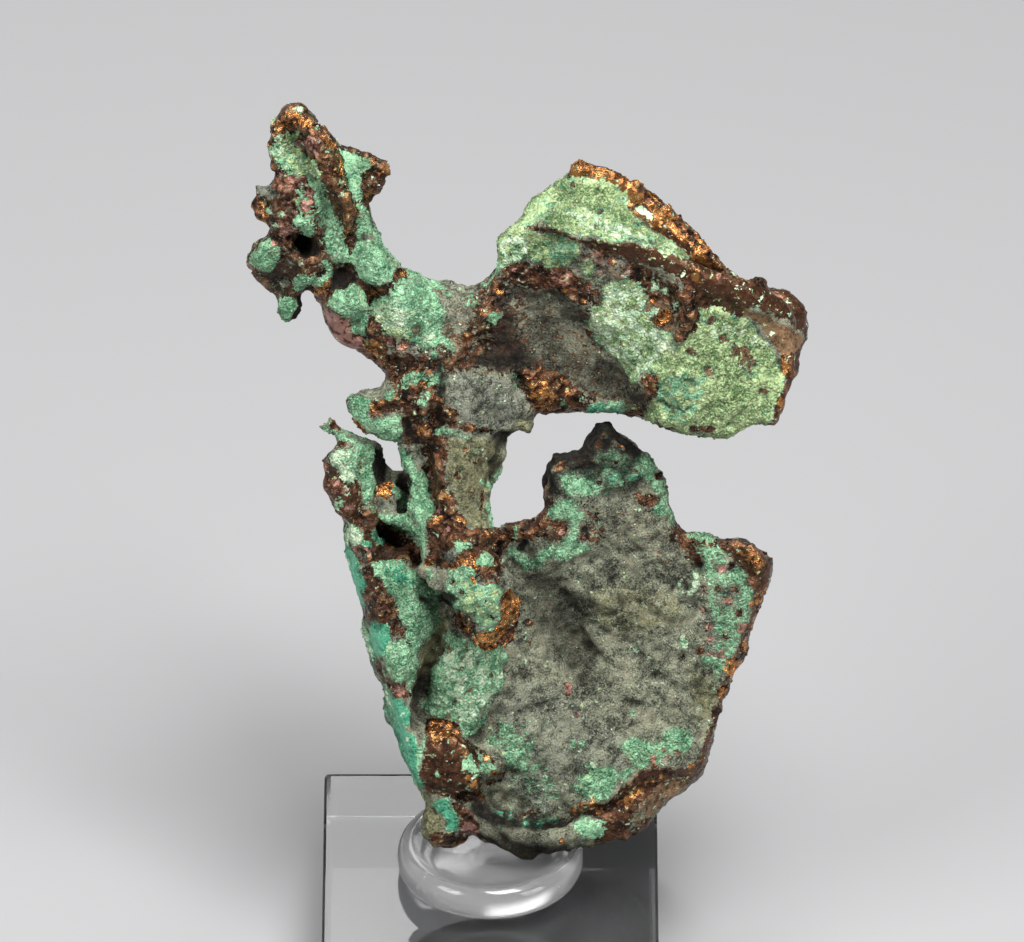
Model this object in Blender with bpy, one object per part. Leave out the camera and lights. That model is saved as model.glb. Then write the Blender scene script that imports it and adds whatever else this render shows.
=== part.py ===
"""Native copper nugget under a malachite crust, standing in a clear dished seat on a clear block.

The nugget is laid out in its own face frame, in millimetres: across to the right, up, and out
towards an onlooker who stands FACE_TILT above the horizon. Outlines are drawn as they look from
there. `out` is counted from a middle plane that leans back by LEAN once the nugget stands.
Rough pieces (slabs, limbs, lumps and hulled chunks) are fused by a voxel remesh, then hollows,
swells and weathering move the fused skin, and a decimate brings it to a light faceted solid.
"""

import math

import bmesh
import bpy
import numpy as np
from mathutils import Matrix, Vector, noise

MM = 0.001

# Stand
BLOCK_WIDTH = 34.0
BLOCK_HEIGHT = 12.7
BLOCK_CHAMFER = 0.7
SEAT_RADIUS = 9.4
SEAT_HEIGHT = 3.6
SEAT_EDGE = 1.5
DISH_RADIUS = 6.9
DISH_DEPTH = 1.2
SEAT_STEPS = 48
REST_GAP = 0.3

# Nugget
FACE_TILT = math.radians(35.0)
LEAN = math.radians(10.0)
VOXEL = 0.4
SETTLE_PASSES = 2
SOLID_TRIANGLES = 8600
DISH_FLOOR = BLOCK_HEIGHT + 2 * REST_GAP + SEAT_HEIGHT - DISH_DEPTH

# Weathering: wavelength and depth of each layer of unevenness, and of the broken facets.
WEATHER_LAYERS = ((7.0, 0.45), (3.2, 0.3), (1.6, 0.12))
FACET_SIZE = 2.6
FACET_DEPTH = 0.14

# Slabs: (outline run clockwise as (across, up), out, half thickness).
PLATE = ((
    (0.7, 32.2), (1.7, 33.2), (3.0, 32.7), (4.0, 33.1), (5.8, 34.1), (5.4, 35.4), (5.3, 37.2),
    (5.7, 38.4), (6.1, 39.7), (7.5, 40.1), (9.2, 40.5), (9.8, 41.7), (10.7, 42.7), (11.9, 43.0),
    (12.5, 42.2), (14.0, 41.4), (15.0, 40.3), (16.0, 39.4), (17.2, 37.7), (17.6, 36.4),
    (18.1, 34.6), (19.0, 32.6), (20.0, 31.8), (21.3, 32.0), (23.0, 31.3), (25.2, 31.2),
    (26.6, 30.5), (27.8, 29.4), (28.4, 28.1), (27.8, 26.4), (26.8, 24.4), (26.3, 22.2),
    (25.6, 20.4), (24.8, 18.4), (24.0, 16.4), (23.0, 13.9), (22.4, 11.4), (22.0, 8.9),
    (21.7, 7.6), (20.8, 6.8), (19.4, 6.2), (18.2, 5.2), (17.2, 3.8), (16.0, 3.0), (15.0, 2.0),
    (13.0, 0.7), (11.0, 0.1), (8.5, -0.8), (6.0, -1.4), (4.5, -1.7), (3.0, -1.5), (1.4, -0.4),
    (0.0, 0.8), (-1.4, 1.6), (-4.0, 3.4), (-6.4, 4.8), (-7.3, 6.4), (-8.0, 7.4), (-8.8, 8.9),
    (-9.4, 10.4), (-10.2, 13.9), (-11.4, 18.4), (-12.1, 21.2), (-12.8, 23.4), (-13.7, 27.4),
    (-14.3, 29.4), (-14.5, 32.6), (-12.0, 33.5), (-8.0, 33.0), (-4.0, 32.0),
), -0.5, 2.5)
ARM = ((
    (-21.9, 70.4), (-21.8, 72.3), (-21.0, 73.6), (-20.0, 74.2), (-18.9, 74.4), (-18.1, 74.1),
    (-17.4, 73.2), (-16.3, 72.2), (-15.4, 71.0), (-14.8, 70.2), (-13.5, 69.8), (-12.0, 69.4),
    (-11.4, 67.6), (-11.8, 64.2), (-11.5, 62.9), (-11.1, 61.4), (-10.7, 60.2), (-10.0, 59.2),
    (-9.2, 58.6), (-8.4, 57.8), (-7.0, 57.2), (-5.0, 56.8), (-4.0, 56.3), (-2.4, 55.9),
    (-0.6, 56.8), (0.6, 58.0), (2.0, 54.0), (1.0, 49.5), (-4.0, 46.0), (-9.4, 47.4),
    (-10.8, 48.0), (-11.6, 49.0), (-12.8, 49.8), (-14.0, 50.2), (-15.0, 50.7), (-15.9, 51.5),
    (-16.4, 52.9), (-16.9, 53.9), (-17.0, 54.9), (-17.4, 55.6), (-18.2, 56.4), (-18.6, 58.0),
    (-19.5, 59.6), (-20.6, 61.0), (-21.6, 62.4), (-22.0, 64.0), (-21.4, 66.4), (-21.2, 67.4),
    (-21.7, 68.6),
), -0.2, 1.9)
TAIL = ((
    (-18.4, 57.4), (-18.8, 55.2), (-18.7, 53.5), (-19.2, 52.9), (-20.2, 53.0), (-21.1, 53.8),
    (-21.6, 55.4), (-22.3, 56.1), (-23.3, 57.2), (-24.0, 57.8), (-24.2, 58.9), (-23.6, 60.1),
    (-22.7, 61.3), (-21.8, 61.8), (-20.6, 60.6), (-19.4, 58.9),
), -0.6, 0.9)
BLOCK = ((
    (-0.8, 56.9), (0.0, 57.6), (0.8, 58.8), (0.8, 60.9), (1.8, 62.0), (2.9, 63.1), (3.9, 64.4),
    (5.4, 65.7), (6.5, 66.2), (7.4, 67.1), (7.9, 68.0), (8.1, 68.8), (9.0, 68.8), (11.0, 68.2),
    (13.0, 67.4), (15.0, 66.2), (17.5, 64.2), (20.0, 61.9), (22.0, 59.9), (23.5, 58.4),
    (25.0, 57.4), (26.6, 56.9), (28.5, 56.3), (29.8, 55.6), (30.8, 54.7), (31.3, 53.4),
    (31.3, 51.4), (30.8, 49.9), (30.5, 48.4), (30.0, 46.9), (29.6, 45.4), (29.2, 43.9),
    (28.8, 42.3), (27.6, 42.6), (26.0, 43.2), (25.0, 42.2), (23.5, 41.2), (22.0, 41.3),
    (20.5, 41.9), (19.0, 41.9), (17.5, 42.3), (16.0, 43.1), (14.5, 43.1), (13.7, 43.7),
    (12.5, 44.0), (10.0, 44.0), (8.5, 43.7), (6.5, 43.5), (5.2, 44.0), (3.0, 46.0), (-1.0, 50.0),
), 0.0, 1.9)
NECK_SIDE = ((
    (-8.8, 46.0), (-1.0, 48.0), (4.4, 45.0), (4.5, 41.6), (3.6, 41.4), (2.8, 42.2), (2.1, 41.6),
    (1.6, 40.7), (1.5, 39.4), (0.9, 37.9), (0.1, 37.2), (-0.2, 35.4), (-0.1, 33.9), (0.4, 32.7),
    (1.0, 31.4), (-4.0, 30.5), (-7.8, 34.0), (-7.6, 37.0), (-8.6, 39.0), (-8.9, 41.0),
), 1.6, 1.8)
LEFT_SHEET = ((
    (-14.5, 32.7), (-15.0, 33.4), (-15.9, 34.6), (-16.3, 35.9), (-16.7, 37.4), (-16.8, 39.2),
    (-16.0, 39.9), (-15.2, 40.5), (-14.4, 40.7), (-14.0, 41.5), (-12.2, 41.2), (-10.9, 41.0),
    (-10.2, 38.9), (-10.2, 38.0), (-10.9, 37.3), (-9.9, 37.4), (-9.4, 38.1), (-8.3, 38.2),
    (-7.7, 36.7), (-7.0, 33.0), (-8.0, 30.0), (-12.0, 29.0), (-14.4, 30.0),
), -0.6, 1.1)

# Limb stations: (across, up, out, radius in the face, radius out).
RIGHT_RIM = (
    (19.8, 31.2, 0.2, 0.9, 1.8), (23.0, 30.4, 0.5, 0.9, 2.0), (25.4, 30.0, 0.8, 1.2, 2.3),
    (27.0, 28.3, 1.0, 1.4, 2.4), (25.9, 24.6, 0.9, 0.9, 2.0), (24.7, 20.4, 0.9, 0.8, 1.9),
    (23.3, 16.4, 0.9, 0.8, 1.9), (21.9, 12.2, 0.6, 0.9, 2.1),
)
LOWER_RIM = (
    (21.4, 10.8, 0.5, 1.0, 2.2), (20.1, 8.6, 0.8, 2.0, 2.9), (17.0, 6.5, 1.0, 2.4, 3.2),
    (13.6, 3.6, 2.0, 2.7, 3.2), (10.2, 2.0, 3.2, 2.3, 2.8),
)
RIM_LEDGE = (
    (21.0, 10.6, 2.4, 0.6, 0.9), (18.8, 8.9, 3.6, 0.8, 1.2), (15.6, 8.0, 4.0, 0.9, 1.3),
    (12.4, 5.6, 4.4, 0.9, 1.3), (8.2, 3.9, 4.8, 0.7, 1.0),
)
CHIN = (
    (10.2, 1.7, 3.4, 2.1, 2.4), (7.4, 0.9, 4.4, 2.0, 2.2), (4.4, 0.4, 4.2, 2.2, 2.2),
    (1.4, 1.7, 3.4, 2.0, 2.4), (-2.0, 3.4, 1.6, 2.3, 2.8),
)
PEAK = (
    (6.2, 38.2, -1.6), (6.3, 35.0, -0.8), (9.4, 39.9, -2.4), (10.4, 41.6, -3.4),
    (11.9, 42.4, -3.8), (14.0, 41.2, -3.0), (16.2, 38.8, -2.2), (17.4, 35.5, -1.0),
    (18.0, 32.6, 1.0), (7.0, 32.5, 1.4), (12.0, 33.0, 2.4), (12.0, 40.5, -5.6),
    (7.0, 37.0, -4.6), (16.0, 36.0, -4.2), (12.0, 32.0, -3.2),
)
PEAK_EDGE = (
    (6.8, 36.2, -0.2, 0.8, 1.2), (7.3, 38.4, -0.8, 0.9, 1.2), (9.8, 39.6, -1.4, 0.8, 1.0),
    (11.4, 41.6, -2.6, 1.0, 1.2), (14.6, 39.6, -1.6, 0.9, 1.2), (16.7, 36.8, -0.4, 0.8, 1.2),
)
GREEN_SWELL = ((-2.4, 17.4, 1.6), (4.2, 6.4, 2.7), 8.0)
MID_SWELL = ((3.4, 10.6, 0.8), (3.0, 3.4, 2.1), -20.0)
BASE_KNOB = ((-4.4, 2.5, 1.2), (2.7, 3.0, 2.8), 0.0)
BASE_HOOK = (
    (-5.6, 5.0, 2.6, 0.7, 0.9), (-4.3, 4.8, 3.0, 0.8, 1.0), (-3.3, 3.6, 3.3, 0.7, 1.0),
    (-3.0, 2.4, 3.0, 0.6, 0.9),
)
RED_KNOB = ((-2.2, 2.9, 2.0), (1.4, 1.5, 1.9), 0.0)
LOWER_LUMP = (
    (-6.1, 13.5, 1.2), (-3.4, 13.3, 1.6), (-6.4, 11.6, 4.4), (-3.4, 11.2, 5.0),
    (-6.9, 7.9, 4.3), (-3.6, 8.2, 6.0), (-3.2, 5.9, 4.6), (-6.7, 6.2, 3.2), (-6.6, 6.0, 1.0),
    (-3.0, 6.0, 1.0),
)
LOWER_FLAKE = (
    (-3.1, 11.6, 3.8), (-2.2, 10.4, 4.9), (-1.4, 8.8, 5.2), (-1.0, 5.5, 4.9), (-2.4, 6.4, 5.8),
    (-2.9, 11.8, 1.5), (-0.8, 7.8, 1.0), (-0.6, 5.6, 2.2), (-3.0, 6.0, 2.0), (-2.6, 8.4, 6.0),
)
SIDE_FLAKE = (
    (-1.7, 10.6, 2.4), (-0.4, 9.6, 3.8), (0.9, 8.8, 4.2), (1.6, 8.0, 3.0), (0.6, 7.4, 4.0),
    (-0.8, 8.0, 4.4), (-1.4, 9.0, 1.5), (1.2, 7.6, 1.2), (0.6, 9.4, 1.5),
)

# Left wall
LEFT_WALL = (
    (-12.6, 31.5, 2.0, 1.5, 2.6), (-12.0, 28.5, 2.6, 1.7, 3.0), (-11.0, 24.5, 3.0, 1.6, 3.0),
    (-10.0, 20.5, 3.0, 1.5, 2.8), (-9.0, 15.5, 2.9, 1.2, 2.6), (-7.6, 10.5, 2.6, 1.2, 2.4),
    (-6.3, 6.8, 2.3, 1.2, 2.2),
)
WALL_STEP = (
    (-11.6, 28.4, 3.6), (-10.6, 27.6, 5.4), (-10.0, 24.2, 5.2), (-12.2, 24.6, 4.0),
    (-9.4, 22.6, 4.0), (-12.2, 27.0, 4.6), (-11.0, 22.8, 2.0), (-9.6, 27.2, 2.0),
)
INNER_FOLD = (
    (-9.2, 30.2, 1.6, 1.6, 2.0), (-8.2, 27.6, 2.8, 1.9, 2.6), (-7.8, 24.0, 3.2, 2.1, 2.8),
    (-8.0, 20.0, 2.8, 1.8, 2.6), (-8.6, 17.0, 2.2, 1.3, 2.2),
)
CREVICE_SHEET = ((-4.6, 24.6, 2.6, 0.8, 1.6), (-5.0, 21.0, 1.8, 0.9, 1.8), (-5.6, 17.0, 1.0, 0.8, 1.6))
BROWN_NUGGET = (
    (-16.8, 38.2, 2.4), (-14.8, 38.8, 3.4), (-13.5, 38.0, 3.6), (-17.0, 36.8, 2.8),
    (-15.2, 36.6, 4.4), (-13.2, 36.4, 4.2), (-13.2, 34.4, 3.8), (-15.6, 34.2, 3.0),
    (-14.4, 33.0, 3.2), (-13.8, 33.0, 1.0), (-15.6, 35.0, 0.6), (-16.2, 38.0, 0.4),
    (-13.2, 38.0, 0.6), (-13.6, 35.4, 4.4),
)
GREEN_HEAD = ((-14.6, 39.2, 2.2), (1.9, 1.5, 1.8), 0.0)
HEAD_NUB = ((-16.7, 39.2, 1.6), (0.7, 0.6, 0.8), 0.0)
TOP_TWIG = (
    (-17.0, 42.4, 1.5, 0.7, 0.8), (-15.8, 42.2, 1.5, 0.8, 0.9), (-14.6, 41.4, 1.5, 0.9, 1.0),
    (-13.0, 40.4, 1.5, 1.2, 1.5),
)
TWIG_FORK = ((-16.4, 42.4, 1.5, 0.6, 0.7), (-15.6, 43.0, 1.6, 0.6, 0.7))
WALL_SHEET = ((-12.8, 39.9, 1.2, 1.1, 1.4), (-12.3, 37.0, 1.2, 1.2, 1.8), (-12.0, 33.0, 1.2, 1.5, 2.2))
NOTCH_LUMP = (
    (-10.9, 37.0, 2.0), (-9.8, 37.5, 1.4), (-8.9, 36.4, 2.4), (-8.5, 35.2, 2.2),
    (-9.6, 34.2, 2.6), (-11.0, 34.4, 2.4), (-11.5, 35.8, 1.6), (-10.0, 35.6, 3.4),
    (-10.0, 35.8, -1.0),
)
CAVITY_ROCKS = (
    ((-10.9, 31.6, 1.6), (1.1, 0.8, 1.2), 30.0),
    ((-9.2, 32.4, 1.2), (0.9, 0.9, 1.0), 0.0),
    ((-11.6, 30.4, 2.4), (1.0, 1.0, 1.2), 0.0),
)

# Neck and junction
NECK = (
    (-4.6, 50.5, 1.0, 4.0, 3.4), (-3.4, 45.5, 2.0, 4.3, 3.6), (-2.8, 41.5, 2.8, 4.0, 3.2),
    (-3.0, 38.0, 3.8, 3.4, 3.0), (-3.0, 34.4, 5.0, 2.9, 2.9), (-2.6, 31.0, 6.0, 3.4, 2.9),
    (-2.0, 28.0, 7.0, 3.7, 3.1),
)
NECK_END = (
    (-3.9, 28.6, 8.6), (0.6, 29.2, 8.4), (2.8, 27.6, 8.2), (3.0, 25.4, 8.6), (2.2, 22.4, 8.4),
    (0.2, 20.4, 8.0), (-1.4, 21.2, 8.8), (-3.4, 23.6, 9.4), (-4.2, 26.0, 9.0), (-0.4, 27.0, 10.8),
    (0.8, 24.4, 10.6), (-1.8, 24.4, 10.6), (2.6, 27.4, 4.4), (2.2, 23.4, 4.4), (-3.4, 25.0, 4.4),
    (-0.4, 21.0, 5.0), (-3.0, 29.0, 4.0),
)
LEDGE = ((-7.7, 28.5, 6.4, 0.4, 0.7), (-5.9, 27.7, 7.0, 0.7, 1.0), (-4.0, 25.8, 7.8, 0.9, 1.3))
CURTAIN = (
    (-8.2, 40.0, 2.6, 0.8, 1.2), (-7.6, 37.0, 3.2, 0.9, 1.4), (-6.8, 33.5, 4.4, 1.1, 1.6),
    (-6.4, 30.6, 5.6, 1.0, 1.5), (-6.2, 29.2, 6.2, 0.6, 1.0),
)
CURTAIN_SWEEP = ((-10.4, 33.4, 2.2, 0.7, 1.0), (-8.6, 33.2, 3.2, 0.8, 1.1), (-6.8, 32.4, 4.6, 1.0, 1.3))
NECK_BUMPS = (
    ((-5.5, 32.6, 6.6), (1.3, 1.4, 1.2), 0.0),
    ((-4.4, 35.4, 6.6), (1.1, 1.2, 1.0), 0.0),
    ((-5.6, 41.8, 4.8), (1.4, 1.2, 1.3), 0.0),
    ((-5.9, 44.6, 4.6), (1.3, 1.2, 1.3), 0.0),
    ((-8.0, 42.0, 2.6), (1.1, 1.0, 1.2), 0.0),
    ((-7.2, 47.2, 3.6), (1.7, 1.3, 1.4), 10.0),
    ((-4.5, 43.8, 5.2), (1.0, 1.1, 1.0), 0.0),
    ((-8.2, 44.4, 3.6), (1.2, 1.2, 1.3), 0.0),
    ((-1.0, 31.4, 7.6), (1.5, 1.1, 1.2), 0.0),
    ((-3.6, 30.4, 8.2), (1.3, 1.0, 1.1), 0.0),
)
GREY_LUMP = (
    (-3.8, 46.6, 4.6), (-1.8, 47.9, 4.8), (1.4, 47.6, 4.2), (3.0, 45.2, 3.0), (3.6, 43.4, 2.0),
    (0.6, 42.8, 4.0), (-2.6, 42.8, 4.8), (-4.2, 44.0, 5.2), (-1.4, 45.4, 6.0), (-3.4, 46.0, 0.0),
    (2.8, 45.0, 0.0), (-2.0, 43.0, 0.0),
)
STUB = ((1.0, 43.8, 1.2, 1.5, 1.6), (3.6, 43.0, 1.2, 1.1, 1.3), (3.9, 42.2, 1.0, 0.7, 1.0))
SPUR = ((-12.8, 44.3, 2.4, 1.6, 1.6), (-11.6, 43.0, 2.8, 1.6, 1.7), (-9.4, 42.7, 3.0, 1.7, 1.9))
SPUR_TOP = ((-12.9, 45.0, 2.0, 1.3, 1.4), (-10.4, 45.2, 2.0, 1.1, 1.4), (-9.0, 46.8, 2.0, 1.6, 1.7))
SPUR_TUBE = ((-11.3, 44.8, 3.8, 0.8, 0.9), (-8.8, 45.4, 4.2, 1.0, 1.2), (-6.4, 46.2, 4.0, 1.3, 1.5))
SPUR_BALL = ((-12.9, 42.3, 3.6), (0.6, 0.6, 0.6), 0.0)

# Upper left arm
ARM_BLADE = (
    (-18.8, 72.9, 1.2, 1.4, 1.8), (-17.4, 71.2, 2.2, 1.6, 2.0), (-16.2, 68.8, 2.8, 1.4, 2.2),
    (-15.3, 66.2, 3.2, 1.1, 2.2), (-14.2, 64.4, 3.2, 0.9, 2.0), (-13.8, 61.6, 2.4, 0.5, 1.4),
)
ARM_LIP = (
    (-19.6, 73.3, 1.2, 1.0, 1.6), (-21.0, 72.2, 1.2, 0.8, 1.6), (-21.3, 69.4, 1.2, 0.7, 1.5),
    (-20.6, 67.0, 1.4, 0.9, 1.6),
)
ARM_SIDE = (
    (-14.9, 70.2, 1.4), (-12.6, 69.4, 0.8), (-11.4, 68.0, 0.6), (-12.2, 65.0, 1.0),
    (-11.6, 62.6, 1.2), (-12.8, 60.6, 2.0), (-14.0, 63.0, 2.0), (-15.0, 66.4, 2.0),
    (-14.4, 68.0, -1.0), (-12.4, 62.0, -1.0), (-12.0, 68.0, -1.0),
)
RED_MASS = (
    ((-20.2, 65.6, 1.8), (1.8, 1.9, 1.7), 20.0),
    ((-18.0, 64.6, 2.2), (1.5, 1.7, 1.5), 0.0),
    ((-20.6, 63.2, 1.6), (1.7, 1.4, 1.6), 0.0),
    ((-18.4, 62.7, 2.4), (1.5, 1.1, 1.3), -15.0),
    ((-19.4, 67.8, 1.4), (1.4, 1.5, 1.3), 0.0),
)
PIT_SILL = ((-20.6, 61.6, 1.2, 0.9, 1.1), (-19.2, 59.4, 1.6, 0.8, 1.1), (-17.8, 58.2, 2.0, 0.9, 1.2), (-16.6, 59.4, 2.0, 0.8, 1.1))
ARM_SWELLS = (
    ((-14.2, 54.8, 1.8), (2.3, 1.9, 2.0), 10.0),
    ((-8.4, 54.4, 2.0), (3.0, 2.5, 2.4), -20.0),
    ((-11.4, 58.4, 1.4), (1.9, 2.6, 2.2), 25.0),
    ((-5.0, 53.4, 1.4), (2.8, 2.4, 2.2), 0.0),
    ((-15.4, 60.4, 1.4), (1.3, 2.8, 1.7), 5.0),
    ((-11.2, 52.4, 1.6), (1.9, 1.7, 1.8), 0.0),
    ((-10.2, 56.4, 2.6), (1.6, 0.9, 1.3), 20.0),
)
PINK_PLATE = (
    (-16.7, 54.3, 1.6), (-14.8, 54.0, 2.2), (-13.2, 51.6, 2.0), (-13.8, 50.3, 1.0),
    (-15.2, 50.8, 1.0), (-16.2, 52.0, 1.2), (-15.0, 52.8, 2.8), (-15.0, 52.0, -1.4),
)
GOLD_CRYSTAL = (
    (-12.7, 50.9, 1.8), (-12.0, 51.5, 2.4), (-11.2, 51.2, 2.6), (-11.1, 50.2, 2.2),
    (-12.0, 49.8, 2.0), (-11.9, 50.7, 3.2), (-12.0, 50.4, 0.0),
)
LOWER_ROCKS = (
    ((-9.6, 50.4, 1.8), (1.3, 1.0, 1.4), -25.0),
    ((-8.4, 51.8, 2.4), (1.2, 1.0, 1.2), 0.0),
    ((-7.4, 49.8, 2.4), (1.4, 1.1, 1.3), 15.0),
    ((-5.6, 51.2, 2.8), (1.3, 1.2, 1.2), 0.0),
    ((-4.8, 49.0, 3.2), (1.5, 1.1, 1.2), 0.0),
    ((-2.6, 51.8, 3.0), (1.6, 1.3, 1.4), 0.0),
    ((-1.6, 49.4, 3.4), (1.6, 1.2, 1.2), 10.0),
    ((0.4, 48.6, 1.6), (2.4, 1.8, 2.4), 0.0),
)
TAIL_CHUNK = (
    (-23.7, 58.4, 0.2), (-23.4, 59.8, 1.4), (-22.6, 61.0, 1.0), (-21.6, 61.4, 1.0),
    (-21.1, 59.8, 1.8), (-22.0, 58.2, 2.2), (-23.2, 58.2, 1.8), (-22.4, 60.0, 2.8),
)
TAIL_SHADE = ((-22.6, 57.4, 0.2, 0.9, 1.2), (-20.8, 58.6, 0.2, 1.3, 1.4), (-19.6, 57.2, 0.4, 1.2, 1.3))
TAIL_DROP = (
    (-21.5, 55.2, 1.0), (-20.4, 56.2, 1.2), (-19.2, 54.9, 1.2), (-19.6, 52.9, 0.8),
    (-20.5, 52.9, 0.9), (-20.4, 54.8, 2.0), (-20.2, 54.6, -0.8),
)
TAIL_HOOK = ((-19.2, 57.0, 1.6, 0.8, 1.0), (-17.6, 57.2, 2.0, 0.9, 1.2), (-16.8, 58.4, 2.0, 0.8, 1.1))
LEFT_TWIG = ((-23.4, 66.3, 0.0, 0.5, 0.6), (-22.4, 65.8, 0.0, 0.6, 0.8), (-21.0, 65.4, 0.5, 1.0, 1.2))
LEFT_LUMP = ((-22.7, 64.0, 0.5), (1.0, 1.5, 1.2), 14.0)
RIGHT_KNOBS = (
    ((-10.9, 67.9, 0.8), (1.4, 1.5, 1.7), 0.0),
    ((-11.4, 66.2, 1.1), (1.3, 1.4, 1.6), 0.0),
    ((-12.1, 68.6, 1.2), (1.1, 1.1, 1.4), 0.0),
)

# Upper block
CROWN = (
    (0.9, 61.2, 3.4), (4.6, 62.4, 5.2), (8.5, 61.9, 6.6), (16.0, 60.0, 7.6), (20.4, 58.2, 7.4),
    (2.4, 62.2, 1.6),
    (5.4, 65.2, -0.6), (8.1, 68.2, -1.4), (13.0, 66.2, -0.8), (16.0, 63.8, 0.4),
    (20.0, 60.6, 2.4), (2.6, 60.0, -4.0), (8.0, 66.0, -5.0), (14.0, 64.4, -6.0),
    (20.0, 58.8, -5.0),
)
SHOULDER_FACET = (
    (2.8, 62.8, -0.6), (4.0, 64.2, -1.0), (6.0, 65.6, -1.0), (6.6, 64.6, 0.6), (3.2, 62.4, 1.2),
    (4.0, 61.0, -3.0), (7.0, 64.0, -3.0),
)
LEFT_FACE = (
    (0.7, 60.8, 3.2), (8.5, 61.4, 5.6), (16.0, 59.6, 6.6), (0.9, 56.0, 3.2), (-0.2, 52.0, 2.8),
    (1.4, 46.4, 2.0), (5.0, 43.8, 1.0), (8.0, 43.4, 1.0), (12.0, 44.0, 1.4), (15.6, 44.6, 3.2),
    (17.0, 48.0, 5.4), (17.5, 53.0, 6.4), (2.0, 60.0, -4.4), (14.0, 60.0, -6.0), (1.0, 50.0, -3.4),
    (6.0, 45.0, -4.0), (15.0, 45.5, -4.4), (18.0, 54.0, -5.4),
)
RIGHT_FACE = (
    (16.0, 59.2, 6.0), (21.0, 56.8, 6.8), (27.0, 54.6, 6.0), (29.6, 52.6, 5.0), (14.8, 43.6, 5.0),
    (17.6, 42.4, 6.4), (19.2, 42.3, 7.0), (23.4, 41.6, 7.4), (25.8, 43.4, 7.4), (28.2, 43.0, 6.6),
    (29.8, 50.8, 5.0), (29.2, 47.0, 5.8), (18.6, 50.6, 8.2), (16.0, 56.0, -5.0),
    (26.0, 54.0, -3.6), (29.4, 50.0, -1.6), (28.0, 44.4, -1.0), (18.0, 44.0, -2.6),
    (23.0, 43.4, -1.6),
)
CROWN_LIP = (
    (8.5, 68.1, -1.2, 0.6, 0.8), (11.0, 67.3, -0.8, 0.8, 1.0), (14.4, 65.3, -0.2, 1.2, 1.3),
    (17.6, 62.6, 0.8, 1.4, 1.5), (20.4, 60.0, 1.8, 1.4, 1.6), (22.6, 57.9, 2.8, 1.3, 1.6),
)
THIN_EDGE = ((2.4, 62.5, 2.4, 0.5, 0.7), (5.0, 62.3, 5.2, 0.5, 0.7), (8.2, 62.0, 6.6, 0.6, 0.8))
RIDGE = (
    (8.2, 61.8, 6.4, 0.6, 0.8), (12.0, 60.9, 7.2, 0.8, 1.0), (16.0, 59.2, 7.4, 1.2, 1.4),
    (20.6, 57.3, 7.2, 1.7, 1.9), (25.2, 55.2, 6.2, 1.8, 2.0), (28.6, 53.8, 4.8, 1.8, 2.2),
)
RIDGE_DROP = (
    (18.4, 57.4, 7.2, 1.4, 1.6), (19.9, 55.0, 8.0, 0.9, 1.3), (19.3, 52.4, 8.4, 0.7, 1.1),
    (18.4, 50.4, 8.4, 0.7, 0.9),
)
RIGHT_LIP = (
    (29.9, 53.0, 4.4, 0.9, 1.8), (30.1, 50.6, 5.2, 0.7, 1.4), (29.6, 47.6, 5.8, 0.6, 1.2),
    (28.8, 44.8, 6.4, 0.6, 1.1), (28.3, 43.1, 6.6, 0.5, 1.0),
)
RIDGE_CRUMBS = (
    ((26.8, 56.6, 4.6), (1.1, 0.9, 1.2), 0.0),
    ((29.0, 51.4, 5.8), (0.9, 1.3, 0.9), 0.0),
    ((9.8, 59.8, 5.8), (1.9, 1.0, 1.1), -14.0),
    ((13.2, 58.2, 6.4), (1.7, 1.1, 1.1), -14.0),
)
FACE_KNOB = (
    (13.8, 47.4, 5.4), (15.8, 48.6, 6.8), (17.2, 47.0, 7.4), (16.8, 44.8, 6.6), (14.8, 44.2, 5.6),
    (13.2, 45.6, 5.2), (15.6, 46.4, 8.2), (15.4, 46.0, 0.0),
)
TEAL_KNOBS = (
    ((18.6, 46.6, 7.4), (1.5, 1.7, 1.2), 0.0),
    ((19.8, 44.4, 7.2), (1.8, 1.5, 1.2), 0.0),
    ((17.4, 43.6, 6.2), (1.5, 1.0, 1.2), 0.0),
    ((21.6, 46.0, 7.6), (1.3, 1.3, 0.9), 0.0),
)
UNDER_KNOB = (
    (3.0, 48.0, 3.4), (6.6, 49.2, 3.8), (9.0, 46.0, 2.6), (7.2, 43.9, 2.0), (5.4, 44.0, 2.2),
    (3.4, 45.6, 3.2), (5.6, 46.4, 5.0), (5.6, 46.4, -1.0),
)
BRIDGE = ((-6.0, 53.4, 1.0, 2.6, 2.8), (-1.6, 53.4, 1.4, 2.4, 2.8), (2.4, 54.0, 1.6, 3.6, 3.0))
BACK_RIDGES = (
    ((3.0, 8.0, -3.0, 2.6, 1.8), (6.0, 20.0, -3.4, 3.4, 2.2), (9.0, 33.0, -4.0, 3.0, 2.2)),
    ((-9.0, 14.0, -2.4, 2.2, 1.6), (-8.0, 27.0, -2.6, 2.8, 2.0), (-4.0, 38.0, -0.5, 3.2, 2.4)),
    ((19.0, 12.0, -2.8, 2.0, 1.2), (21.5, 24.0, -2.8, 2.4, 1.4)),
    ((-17.0, 66.0, -1.8, 2.0, 1.4), (-13.0, 58.0, -2.0, 2.4, 1.8), (-5.0, 53.0, -2.4, 3.0, 2.2)),
)

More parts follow.
